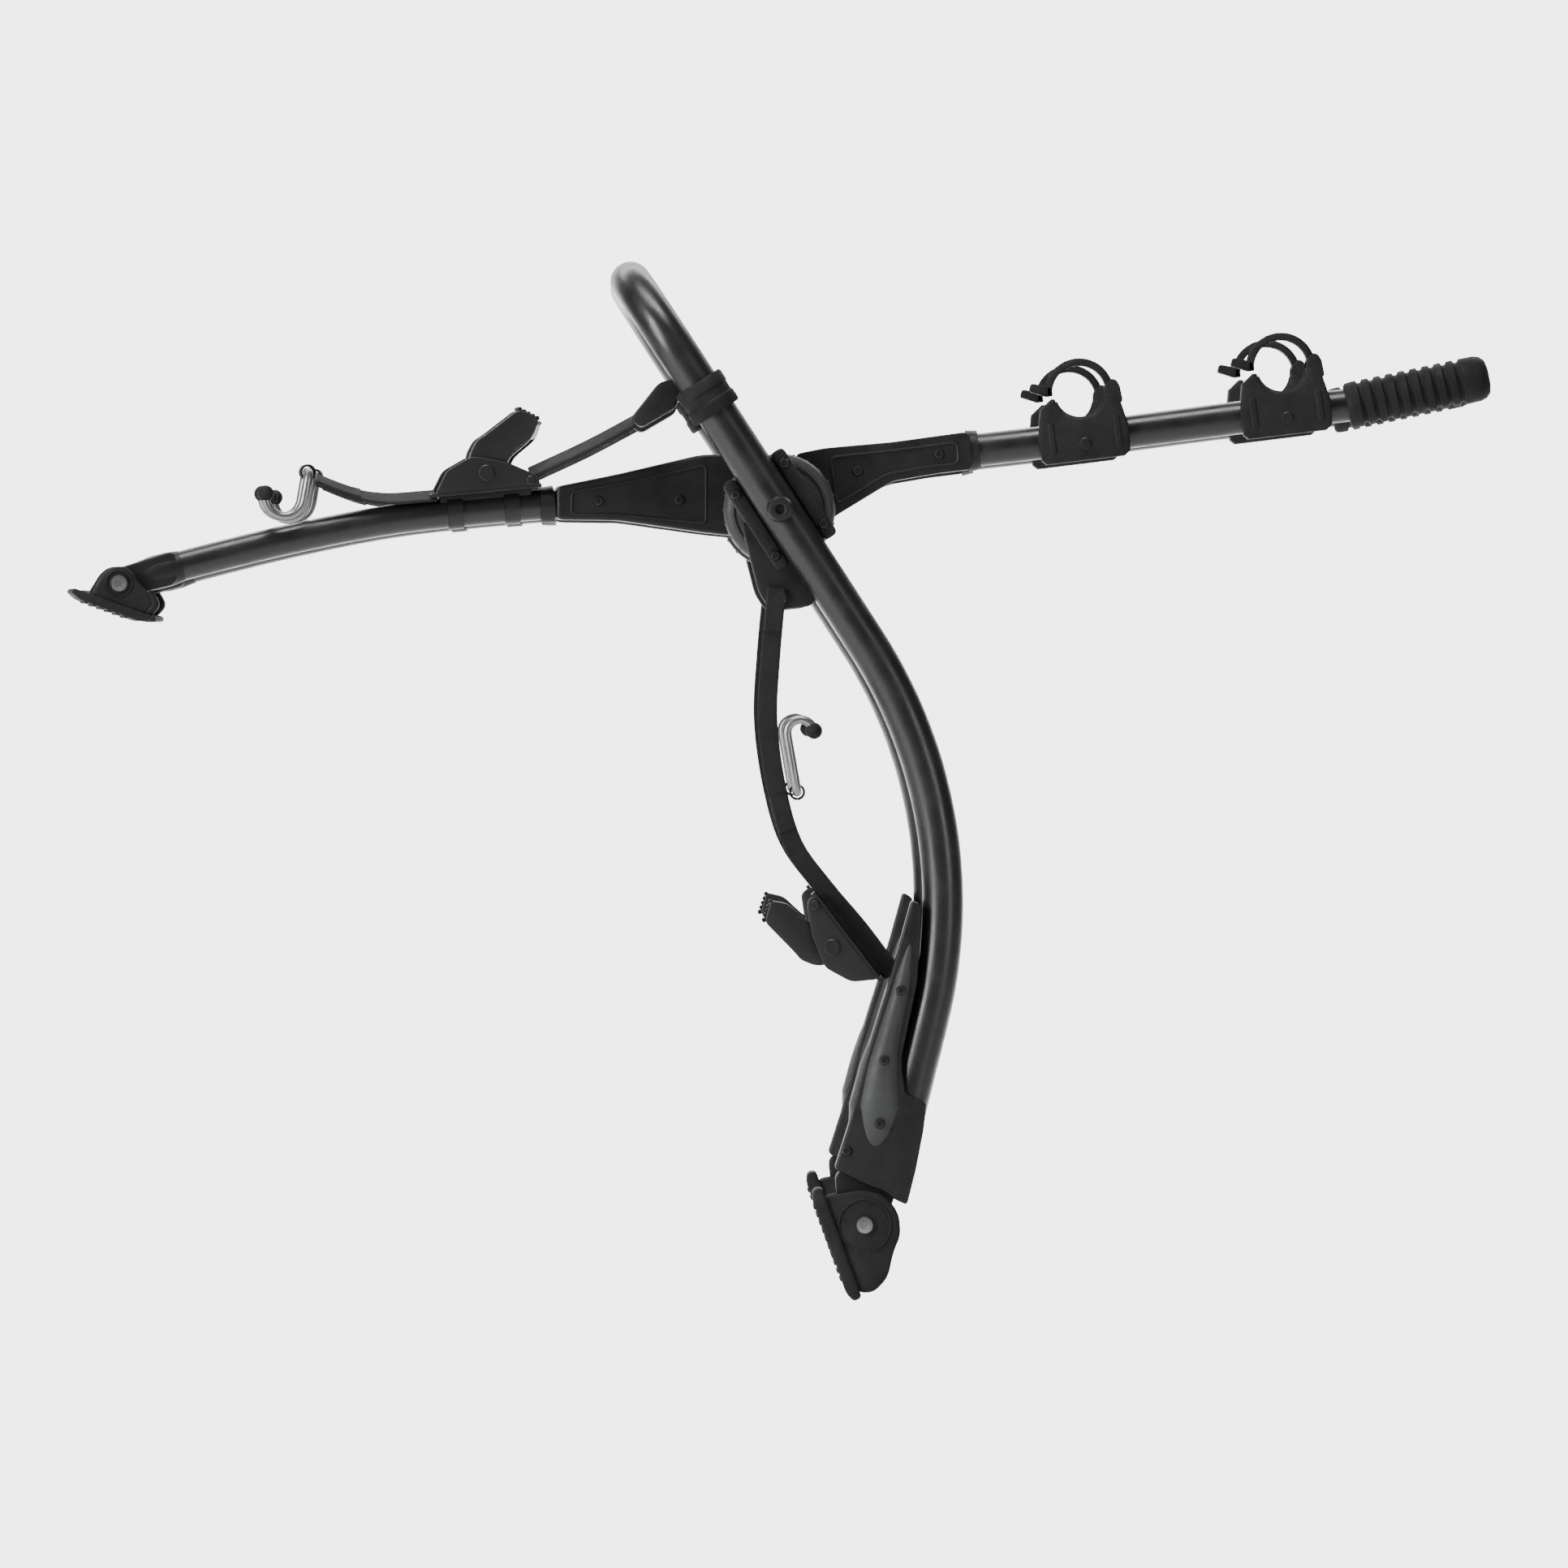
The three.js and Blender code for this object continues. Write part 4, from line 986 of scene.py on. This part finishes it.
# Metres and watts.
FLOOR_Z = -1.08  # the ground below a rack strapped to a car
CAMERA_PLACE, CAMERA_TARGET, CAMERA_LENS = Vector((-0.1, -12.0, -0.1)), Vector((0.0045, 0, -0.183)), 410
STAGE_HALF_WIDTH = 9
WORLD_STRENGTH, BACKDROP_STRENGTH = 0.15, 4.4
RACK_MIDDLE = (0, 0, -0.15)
LIGHTS = [  # name, place, size, power, target
    ("key", (-3.3, -2.7, 0.9), (1.0, 2.6), 260, RACK_MIDDLE),
    ("top", (-0.4, -0.9, 3.3), (2.4, 0.7), 150, RACK_MIDDLE),
    ("fill", (2.9, -3.2, 0.4), (0.5, 2.0), 40, RACK_MIDDLE),
    ("backdrop", (0, 2.2, 1.2), (5.0, 2.0), 520, (0, 7, -0.6)),
    ("floor", (0, 3.0, 2.6), (6.0, 2.0), 420, (0, 4.4, -1.08)),
]


def stage_sheet(name, profile, paint):
    """A sheet of the stage: a profile in the Y-Z plane carried along X."""
    bm = bmesh.new()
    rows = [[bm.verts.new(p + Vector((x, 0, 0))) for p in profile]
            for x in (-STAGE_HALF_WIDTH, STAGE_HALF_WIDTH)]
    for i in range(len(profile) - 1):
        bm.faces.new((rows[0][i], rows[1][i], rows[1][i + 1], rows[0][i + 1]))
    for face in bm.faces:
        face.smooth = True
    mesh = bpy.data.meshes.new(name)
    bm.to_mesh(mesh)
    bm.free()
    mesh.materials.append(paint)
    obj = bpy.data.objects.new(name, mesh)
    bpy.context.scene.collection.objects.link(obj)
    return obj


def build_stage():
    """A floor, and a cove and wall behind the rack. The wall only reflects light: it is hidden from the
    camera, which stands beyond it in the views from behind, and the world gives the pale backdrop."""
    paint = bpy.data.materials.new("studio_paint")
    paint.use_nodes = True
    shader = paint.node_tree.nodes["Principled BSDF"]
    shader.inputs["Base Color"].default_value = (0.93, 0.93, 0.93, 1)
    shader.inputs["Roughness"].default_value = 0.9
    front, back, cove, top, steps = -9, 4, 3, 6, 12
    stage_sheet("studio_floor", [Vector((0, y, FLOOR_Z)) for y in (front, back)], paint)
    rise = [Vector((0, back + cove * math.sin(a), FLOOR_Z + cove - cove * math.cos(a)))
            for a in (math.radians(90 * k / steps) for k in range(steps + 1))]
    wall = stage_sheet("studio_wall", [*rise, Vector((0, back + cove, top))], paint)
    wall.visible_camera = False


def area_light(name, place, size, power, target):
    data = bpy.data.lights.new(name, "AREA")
    data.shape = "RECTANGLE"
    data.size, data.size_y = size
    data.energy = power
    obj = bpy.data.objects.new(name, data)
    obj.location = place
    obj.rotation_euler = (Vector(target) - Vector(place)).to_track_quat("-Z", "Y").to_euler()
    bpy.context.scene.collection.objects.link(obj)


def build_camera():
    data = bpy.data.cameras.new("camera")
    data.lens = CAMERA_LENS
    data.clip_end = 100
    obj = bpy.data.objects.new("camera", data)
    obj.location = CAMERA_PLACE
    obj.rotation_euler = (CAMERA_TARGET - obj.location).to_track_quat("-Z", "Y").to_euler()
    bpy.context.scene.collection.objects.link(obj)
    bpy.context.scene.camera = obj


def build_world():
    """Soft light from all round, and a paler backdrop where the camera sees past the stage."""
    world = bpy.data.worlds.new("studio")
    bpy.context.scene.world = world
    world.use_nodes = True
    tree = world.node_tree
    background = tree.nodes["Background"]
    background.inputs["Color"].default_value = (1, 1, 1, 1)
    strength = tree.nodes.new("ShaderNodeMapRange")
    strength.inputs["To Min"].default_value = WORLD_STRENGTH
    strength.inputs["To Max"].default_value = BACKDROP_STRENGTH
    path = tree.nodes.new("ShaderNodeLightPath")
    tree.links.new(path.outputs["Is Camera Ray"], strength.inputs["Value"])
    tree.links.new(strength.outputs["Result"], background.inputs["Strength"])


build_stage()
for light in LIGHTS:
    area_light(*light)
build_world()
build_camera()
